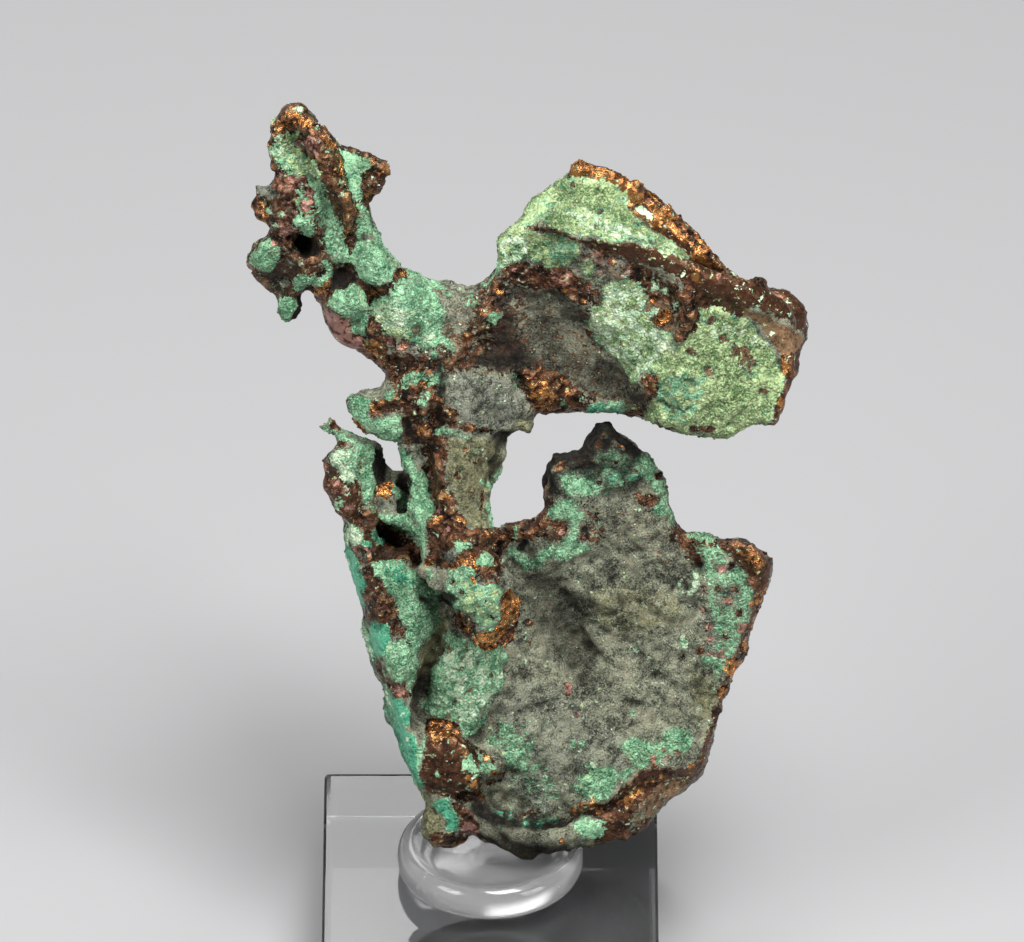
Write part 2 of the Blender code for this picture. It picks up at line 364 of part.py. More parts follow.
# Hollows (-) and swells (+): (centre), (size), turn in degrees, how far the skin moves out.
MOVES = (
    ((11.0, 21.5, 2.0), (10.5, 13.5, 4.5), 0.0, -2.0),
    ((7.6, 22.0, 1.0), (4.0, 8.5, 4.5), 23.0, -1.6),
    ((10.5, 22.5, -3.5), (9.0, 12.0, 3.0), -25.0, -1.6),
    ((12.4, 25.6, 1.0), (5.0, 2.2, 3.0), -8.0, 0.5),
    ((13.6, 20.0, 1.0), (5.0, 1.6, 3.0), -38.0, -0.5),
    ((3.0, 27.5, 2.5), (2.6, 4.0, 3.0), 0.0, -1.4),
    ((-9.6, 31.6, 1.5), (3.4, 2.0, 4.0), 0.0, -3.2),
    ((-9.6, 24.6, 4.6), (0.9, 2.5, 2.5), -10.0, -0.6),
    ((-5.6, 20.5, 2.5), (1.0, 5.5, 3.5), -12.0, -2.8),
    ((-6.5, 15.0, 2.5), (1.1, 3.0, 3.5), -12.0, -2.2),
    ((1.6, 4.9, 3.6), (4.2, 1.0, 3.0), -6.0, -1.6),
    ((6.0, 3.7, 5.2), (3.0, 0.9, 3.0), 8.0, -1.2),
    ((-0.6, 4.8, 3.6), (1.2, 1.6, 2.0), 0.0, -1.2),
    ((5.6, 54.0, 4.5), (6.5, 4.8, 3.5), -8.0, -1.9),
    ((9.0, 49.6, 4.0), (7.0, 4.4, 4.0), -20.0, -2.2),
    ((12.4, 46.6, 3.5), (3.6, 2.2, 3.5), -20.0, -1.2),
    ((-18.6, 60.7, 1.8), (1.5, 1.3, 3.0), -20.0, -3.6),
    ((-14.6, 58.0, 2.4), (1.5, 1.0, 2.5), -30.0, -2.0),
    ((-18.9, 70.2, 2.2), (1.9, 2.6, 2.0), 0.0, -0.8),
    ((-16.4, 62.6, 2.4), (0.9, 4.5, 2.0), 18.0, -0.7),
    ((-5.6, 43.0, 5.0), (0.6, 3.6, 3.0), 4.0, -2.4),
    ((-6.6, 46.8, 5.2), (0.7, 1.4, 2.0), 0.0, -1.0),
    ((-6.2, 38.6, 4.6), (0.6, 3.0, 2.4), 4.0, -1.4),
    ((-1.6, 41.6, 5.6), (2.6, 0.5, 2.0), 0.0, -1.0),
    ((25.0, 49.4, 6.6), (4.6, 4.8, 2.5), 0.0, -0.8),
    ((24.2, 25.0, 2.5), (1.8, 5.5, 2.5), 14.0, 0.5),
    ((21.0, 28.8, 2.4), (1.2, 2.2, 2.5), 10.0, -0.8),
    ((-22.4, 58.0, 2.6), (1.2, 0.6, 1.6), 30.0, -0.8),
    ((-0.6, 23.6, 10.0), (2.2, 0.7, 2.0), -8.0, -1.0),
    ((-4.4, 25.4, 8.0), (1.0, 0.8, 2.0), 0.0, -1.2),
)


# ---------------------------------------------------------------- rough pieces
def ellipsoid(centre, size, turn=0.0, detail=2):
    """Points of an ellipsoid, turned in the face by `turn` degrees anticlockwise."""
    ball = bmesh.new()
    bmesh.ops.create_icosphere(ball, subdivisions=detail, radius=1.0)
    placed = (
        Matrix.Translation(centre)
        @ Matrix.Rotation(math.radians(turn), 4, "Z")
        @ Matrix.Diagonal((*size, 1.0))
    )
    points = [placed @ v.co for v in ball.verts]
    ball.free()
    return points


def add_hull(rough, points):
    """Adds the convex hull of some points."""
    corners = [rough.verts.new(p) for p in points]
    made = bmesh.ops.convex_hull(rough, input=corners)
    spare = {g for g in made["geom_interior"] + made["geom_unused"] if isinstance(g, bmesh.types.BMVert)}
    bmesh.ops.delete(rough, geom=list(spare), context="VERTS")


def add_lump(rough, lump):
    """Adds one ellipsoid: (centre, size, turn)."""
    add_hull(rough, ellipsoid(*lump))


def add_limb(rough, stations):
    """Adds a limb: each pair of neighbouring stations is hulled together."""
    balls = [ellipsoid((x, y, z), (r, r, deep), detail=1) for x, y, z, r, deep in stations]
    for near, far in zip(balls, balls[1:]):
        add_hull(rough, near + far)


def add_slab(rough, outline, out, half):
    """Adds a flat slab of an outline, with its edge brought to a blunt ridge."""
    flat = [Vector((x, y, 0.0)) for x, y in outline]
    count = len(flat)
    edge = 0.35 * half
    inner = []
    for i, here in enumerate(flat):
        along = (flat[(i + 1) % count] - flat[i - 1]).normalized()
        inner.append(here + edge * Vector((along.y, -along.x, 0.0)))
    rings = [
        [rough.verts.new(p + Vector((0.0, 0.0, out + rise))) for p in ring]
        for ring, rise in ((inner, -half), (flat, -0.4 * half), (flat, 0.4 * half), (inner, half))
    ]
    for low, high in zip(rings, rings[1:]):
        for i in range(count):
            j = (i + 1) % count
            rough.faces.new((low[j], low[i], high[i], high[j]))
    rough.faces.new(rings[0])
    rough.faces.new(reversed(rings[-1]))


def rough_nugget():
    """All the rough pieces of the nugget as one mesh of overlapping bodies, in the face frame."""
    rough = bmesh.new()
    for outline, out, half in (PLATE, ARM, TAIL, BLOCK, NECK_SIDE, LEFT_SHEET):
        add_slab(rough, outline, out, half)
    for points in (
        PEAK, LOWER_LUMP, LOWER_FLAKE, SIDE_FLAKE, WALL_STEP, BROWN_NUGGET, NOTCH_LUMP, NECK_END,
        GREY_LUMP, ARM_SIDE, PINK_PLATE, GOLD_CRYSTAL, TAIL_CHUNK, TAIL_DROP, CROWN,
        SHOULDER_FACET, LEFT_FACE, RIGHT_FACE, FACE_KNOB, UNDER_KNOB,
    ):
        add_hull(rough, points)
    for stations in (
        RIGHT_RIM, LOWER_RIM, RIM_LEDGE, CHIN, PEAK_EDGE, BASE_HOOK, LEFT_WALL, INNER_FOLD,
        CREVICE_SHEET, TOP_TWIG, TWIG_FORK, WALL_SHEET, NECK, LEDGE, CURTAIN, CURTAIN_SWEEP,
        STUB, SPUR, SPUR_TOP, SPUR_TUBE, ARM_BLADE, ARM_LIP, PIT_SILL, TAIL_SHADE, TAIL_HOOK,
        LEFT_TWIG, CROWN_LIP, THIN_EDGE, RIDGE, RIDGE_DROP, RIGHT_LIP, BRIDGE, *BACK_RIDGES,
    ):
        add_limb(rough, stations)
    for lump in (
        GREEN_SWELL, MID_SWELL, BASE_KNOB, RED_KNOB, GREEN_HEAD, HEAD_NUB, SPUR_BALL, LEFT_LUMP,
        *CAVITY_ROCKS, *NECK_BUMPS, *RED_MASS, *ARM_SWELLS, *LOWER_ROCKS, *RIGHT_KNOBS,
        *RIDGE_CRUMBS, *TEAL_KNOBS,
    ):
        add_lump(rough, lump)
    bmesh.ops.recalc_face_normals(rough, faces=rough.faces)
    mesh = bpy.data.meshes.new("rough_nugget")
    rough.to_mesh(mesh)
    rough.free()
    return mesh


# ---------------------------------------------------------------- fused skin
def fused(mesh):
    """One closed skin round all the overlapping bodies, with its steps softened."""
    holder = bpy.data.objects.new("fusing", mesh)
    bpy.context.scene.collection.objects.link(holder)
    remesh = holder.modifiers.new("fuse", "REMESH")
    remesh.mode = "VOXEL"
    remesh.voxel_size = VOXEL
    smooth = holder.modifiers.new("settle", "SMOOTH")
    smooth.factor = 0.5
    smooth.iterations = SETTLE_PASSES
    graph = bpy.context.evaluated_depsgraph_get()
    skin = bpy.data.meshes.new_from_object(holder.evaluated_get(graph))
    bpy.data.objects.remove(holder)
    keep_largest(skin)
    return skin


def keep_largest(mesh):
    """Drops crumbs and closed pockets, which are skins apart from the main one."""
    whole = bmesh.new()
    whole.from_mesh(mesh)
    left = set(whole.verts)
    bodies = []
    while left:
        front = [left.pop()]
        body = list(front)
        while front:
            for edge in front.pop().link_edges:
                for vert in edge.verts:
                    if vert in left:
                        left.remove(vert)
                        front.append(vert)
                        body.append(vert)
        bodies.append(body)
    bodies.sort(key=len)
    bmesh.ops.delete(whole, geom=[v for body in bodies[:-1] for v in body], context="VERTS")
    whole.to_mesh(mesh)
    whole.free()


def arrays_of(mesh):
    """(points, normals) of a mesh, one row for each vertex."""
    points = np.empty(len(mesh.vertices) * 3, np.float32)
    normals = np.empty(len(mesh.vertices) * 3, np.float32)
    mesh.vertices.foreach_get("co", points)
    mesh.vertex_normals.foreach_get("vector", normals)
    return points.reshape(-1, 3).astype(float), normals.reshape(-1, 3).astype(float)


def moved(points, move):
    """How far out each point goes under one hollow or swell."""
    centre, size, turn, amount = move
    angle = math.radians(turn)
    offset = points - np.array(centre)
    across = offset[:, 0] * math.cos(angle) + offset[:, 1] * math.sin(angle)
    up = offset[:, 1] * math.cos(angle) - offset[:, 0] * math.sin(angle)
    apart = (across / size[0]) ** 2 + (up / size[1]) ** 2 + (offset[:, 2] / size[2]) ** 2
    return amount * np.clip(1.0 - apart, 0.0, 1.0) ** 1.5


def weather(points):
    """Depth of the weathering at each point, from layers of smooth noise."""
    depth = np.zeros(len(points))
    for wavelength, amount in WEATHER_LAYERS:
        depth += amount * np.array([noise.noise(Vector(p) / wavelength) for p in points])
    return depth + FACET_DEPTH * broken_facets(points)


def broken_facets(points):
    """Height on small flats that tilt every way, from -1 to 1, as on a broken lump."""
    heights = np.zeros(len(points))
    for i, point in enumerate(points):
        spot = Vector(point) / FACET_SIZE
        centre = noise.voronoi(spot)[1][0]
        heights[i] = 2.0 * (spot - centre).dot(noise.noise_vector(centre * 3.7))
    return np.clip(heights, -1.0, 1.0)


def shape_skin(mesh):
    """Presses the hollows, raises the swells and weathers the skin."""
    points, normals = arrays_of(mesh)
    for move in MOVES:
        points[:, 2] += moved(points, move)
    points += normals * weather(points)[:, None]
    mesh.vertices.foreach_set("co", points.astype(np.float32).ravel())
    mesh.update()


def rest_in_dish(mesh):
    """Raises whatever would reach into the seat to just above it."""
    points = arrays_of(mesh)[0]
    top = [(r, z) for r, z in seat_profile() if z > 0.5 * SEAT_HEIGHT][::-1]
    radii, heights = (np.array(column) for column in zip(*top))
    reach = np.hypot(points[:, 0], points[:, 1]) / MM
    floor = np.interp(reach, radii, heights) + BLOCK_HEIGHT + 2.3 * REST_GAP
    near = reach < SEAT_RADIUS + REST_GAP
    points[near, 2] = np.maximum(points[near, 2], floor[near] * MM)
    mesh.vertices.foreach_set("co", points.astype(np.float32).ravel())
    mesh.update()


def face_to_stand():
    """Matrix from the face frame, in millimetres, to the standing nugget, in metres."""
    slope = math.tan(FACE_TILT - LEAN)
    sine, cosine = math.sin(FACE_TILT), math.cos(FACE_TILT)
    turned = Matrix((
        (1.0, 0.0, 0.0, 0.0),
        (0.0, sine - slope * cosine, -cosine, 0.0),
        (0.0, cosine + slope * sine, sine, DISH_FLOOR),
        (0.0, 0.0, 0.0, 1.0),
    ))
    return Matrix.Scale(MM, 4) @ turned


# ---------------------------------------------------------------- objects
def material(name, colour, roughness, metallic=0.0, see_through=0.0):
    """A plain finish."""
    made = bpy.data.materials.new(name)
    made.use_nodes = True
    shader = made.node_tree.nodes["Principled BSDF"]
    shader.inputs["Base Color"].default_value = (*colour, 1.0)
    shader.inputs["Roughness"].default_value = roughness
    shader.inputs["Metallic"].default_value = metallic
    shader.inputs["Transmission Weight"].default_value = see_through
    return made


def placed_object(name, mesh, finish):
    """Links a mesh to the scene as one named piece."""
    made = bpy.data.objects.new(name, mesh)
    mesh.materials.clear()
    mesh.materials.append(finish)
    bpy.context.scene.collection.objects.link(made)
    return made


def make_nugget(finish):
    """The nugget, decimated to a light faceted solid."""
    skin = fused(rough_nugget())
    shape_skin(skin)
    skin.transform(face_to_stand())
    rest_in_dish(skin)
    nugget = placed_object("nugget", skin, finish)
    thin = nugget.modifiers.new("facets", "DECIMATE")
    thin.ratio = SOLID_TRIANGLES / (2.0 * len(skin.polygons))
    return nugget


def seat_profile():
    """Half the seat's section, (radius, height) from the centre of the foot round to the dish."""
    foot = SEAT_RADIUS - 0.4 * SEAT_EDGE
    points = [(0.0, 0.0), (foot, 0.0)]
    crest = (SEAT_RADIUS + DISH_RADIUS) / 2.0
    for step in range(7):
        angle = math.radians(-50.0 + 140.0 * step / 6.0)
        reach = SEAT_RADIUS - crest
        points.append((crest + reach * math.cos(angle), SEAT_HEIGHT - reach + reach * math.sin(angle)))
    points.append((DISH_RADIUS, SEAT_HEIGHT - 0.35 * DISH_DEPTH))
    points.append((0.72 * DISH_RADIUS, SEAT_HEIGHT - 0.9 * DISH_DEPTH))
    points.append((0.0, SEAT_HEIGHT - DISH_DEPTH))
    return points


def make_seat(finish):
    """The clear round seat: a turned puck with a rolled edge and a shallow dish."""
    turned = bmesh.new()
    profile = [turned.verts.new((r * MM, 0.0, z * MM)) for r, z in seat_profile()]
    edges = [turned.edges.new(pair) for pair in zip(profile, profile[1:])]
    bmesh.ops.spin(
        turned, geom=profile + edges, cent=(0.0, 0.0, 0.0), axis=(0.0, 0.0, 1.0),
        angle=2.0 * math.pi, steps=SEAT_STEPS, use_merge=True,
    )
    bmesh.ops.remove_doubles(turned, verts=turned.verts, dist=1e-6)
    bmesh.ops.recalc_face_normals(turned, faces=turned.faces)
    mesh = bpy.data.meshes.new("seat")
    turned.to_mesh(mesh)
    turned.free()
    mesh.shade_smooth()
    seat = placed_object("seat", mesh, finish)
    seat.location.z = (BLOCK_HEIGHT + REST_GAP) * MM
    return seat


def make_block(finish):
    """The clear square block, with its edges chamfered."""
    cube = bmesh.new()
    bmesh.ops.create_cube(cube, size=1.0)
    bmesh.ops.scale(cube, vec=Vector((BLOCK_WIDTH, BLOCK_WIDTH, BLOCK_HEIGHT)) * MM, verts=cube.verts)
    bmesh.ops.translate(cube, vec=(0.0, 0.0, 0.5 * BLOCK_HEIGHT * MM), verts=cube.verts)
    mesh = bpy.data.meshes.new("display_block")
    cube.to_mesh(mesh)
    cube.free()
    block = placed_object("display_block", mesh, finish)
    chamfer = block.modifiers.new("chamfer", "BEVEL")
    chamfer.width = BLOCK_CHAMFER * MM
    chamfer.segments = 1
    return block


def main():
    """Clears the scene and builds the three pieces."""
    for old in list(bpy.data.objects):
        bpy.data.objects.remove(old)
    copper = material("weathered copper", (0.33, 0.30, 0.22), 0.6, metallic=0.3)
    clear = material("clear acrylic", (0.82, 0.84, 0.86), 0.05, see_through=0.9)
    make_block(clear)
    make_seat(clear)
    make_nugget(copper)


main()
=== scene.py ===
"""A native copper nugget crusted with malachite, on a clear seat and an acrylic display block.

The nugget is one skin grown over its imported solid. Mineral zones are laid on it through a flat
sheet held square to the front view: tenths of a millimetre, counted to the right and down from
the sheet's top left corner. Grains of malachite and crystals of copper are scattered over it.
"""
import math

import bmesh
import bpy
import numpy as np
from bpy.props import FloatProperty, FloatVectorProperty, IntProperty, PointerProperty
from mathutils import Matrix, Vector, noise
from mathutils.bvhtree import BVHTree
from mathutils.kdtree import KDTree


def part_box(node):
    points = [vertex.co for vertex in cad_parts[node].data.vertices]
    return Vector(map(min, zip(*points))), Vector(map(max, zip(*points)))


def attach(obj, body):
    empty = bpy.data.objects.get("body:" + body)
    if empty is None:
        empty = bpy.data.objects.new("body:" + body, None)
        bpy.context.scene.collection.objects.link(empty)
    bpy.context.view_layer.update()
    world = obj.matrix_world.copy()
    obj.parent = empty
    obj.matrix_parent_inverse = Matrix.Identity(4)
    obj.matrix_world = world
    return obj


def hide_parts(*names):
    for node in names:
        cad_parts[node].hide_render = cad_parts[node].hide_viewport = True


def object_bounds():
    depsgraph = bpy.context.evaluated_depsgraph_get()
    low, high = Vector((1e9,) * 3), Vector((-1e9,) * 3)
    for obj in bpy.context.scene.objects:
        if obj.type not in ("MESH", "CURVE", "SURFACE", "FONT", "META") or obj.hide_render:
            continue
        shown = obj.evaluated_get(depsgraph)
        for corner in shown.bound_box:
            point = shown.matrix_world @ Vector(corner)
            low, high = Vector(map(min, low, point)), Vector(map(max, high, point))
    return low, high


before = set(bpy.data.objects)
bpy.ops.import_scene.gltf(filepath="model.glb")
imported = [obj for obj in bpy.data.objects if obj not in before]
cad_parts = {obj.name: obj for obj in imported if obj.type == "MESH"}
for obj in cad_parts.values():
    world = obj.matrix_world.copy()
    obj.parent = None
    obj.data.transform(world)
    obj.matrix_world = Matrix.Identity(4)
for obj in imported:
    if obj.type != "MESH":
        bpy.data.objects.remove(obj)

bl_info = {
    "name": "Native copper nugget on a stand",
    "version": (1, 0, 0),
    "blender": (4, 5, 0),
    "location": "3D View > Sidebar > Nugget",
    "description": "Grows a copper nugget with its malachite crust, and makes its acrylic stand",
    "category": "Object",
}

MM = .001
BODY = "root"
CAD_LOW, CAD_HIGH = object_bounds()
SEAT_LOW, SEAT_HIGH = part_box("seat")
BLOCK_LOW, BLOCK_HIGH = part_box("display_block")

# The front view: where its camera stands, and the sheet held square to it through the nugget.
VIEW_ELEVATION = math.radians(35)
VIEW_DISTANCE = 1.5
SHEET_UNIT = .1 * MM
SHEET_SIZE = (1024, 942)
SHEET_CENTRE = (SHEET_SIZE[0] / 2, SHEET_SIZE[1] / 2)
SHEET_ACROSS = 2.2 * MM
SHEET_UP = 38.3 * MM
SHEET_TOWARDS = 17.8 * MM
DISH_DEPTH = 1.2 * MM
ACROSS = Vector((1, 0, 0))
UP = Vector((0, math.sin(VIEW_ELEVATION), math.cos(VIEW_ELEVATION)))
TOWARDS = Vector((0, -math.cos(VIEW_ELEVATION), math.sin(VIEW_ELEVATION)))
SHEET_MIDDLE = (Vector((0, 0, SEAT_HIGH.z - DISH_DEPTH)) + ACROSS * SHEET_ACROSS
                + UP * SHEET_UP + TOWARDS * SHEET_TOWARDS)
CAMERA_PLACE = SHEET_MIDDLE + TOWARDS * VIEW_DISTANCE

# The minerals that can cover a point of the skin, three to an attribute, with 'dark' among them,
# which is no mineral but painted shade. What none of them covers is the grey-green patina.
MINERALS_AND_SHADE = ("brown", "gold", "cuprite", "mint", "lime", "teal", "chalk", "dark", "taupe",
            "olive", "ash", "smooth")
MINERAL_LAYERS = ("coppers", "greens", "crusts", "earths")

CRUSTS = ("mint", "lime", "teal", "chalk")
METALS = ("brown", "gold", "cuprite")

# How zones are drawn: how far noise of a size in millimetres frays them over the sheet, where the
# edge of a stroke and of a spot starts and ends as shares of its size, and the soft edge of a
# smooth place on the sheet.
FRAY_REACH, FRAY_SIZE, FRAY_SEEDS = 3.2, 1.1, (1, 2)
LINE_EDGE = (.35, .75)
SPOT_EDGE = (.6, 1.3)
SMOOTH_EDGE = 4

# What the front camera sees, in millimetres: how far off the skin the look towards it starts, and
# the least share of a point's facing it. Bare points this near the rim of what is seen take the
# cover found within reach.
CLEAR_OFF, CLEAR_AHEAD, LEAST_FACING = .12, .25, .2
RIM_WIDTH, RIM_REACH, BARE_BELOW = .6, 1.8, .4

# Behind the rim, how far off in millimetres the grown minerals start to take over, and over how
# wide a band they do.
HIDDEN_START, HIDDEN_BAND = .8, 2.4

# How far one seed moves a field's noise along each axis, how far apart the tilts of two cells are
# drawn, and how fast a granule falls off.
SEED_STEPS = (17.3, 5.1, -9.7)
CELL_SPREAD = 7.3
GRANULE_STEEPNESS = 1.6

# The wide, middle and small noises that grow minerals: size in millimetres and seed.
GROWN_NOISES = ((7, 3), (3.4, 4), (1.5, 5))

# Hollows as the minerals and as the finish measure them: smoothing passes, and the depth in
# millimetres that counts as 1.
WIDE_HOLLOW, FINE_HOLLOW = (8, .14), (6, .12)

# How much longer than wide the grooves in the bare rock are, and the directions along and beside
# them in the front view.
GROOVE_STRETCH = 3.2
ALONG_GROOVES, BESIDE_GROOVES = ACROSS * .64 - UP * .77, ACROSS * .77 + UP * .64
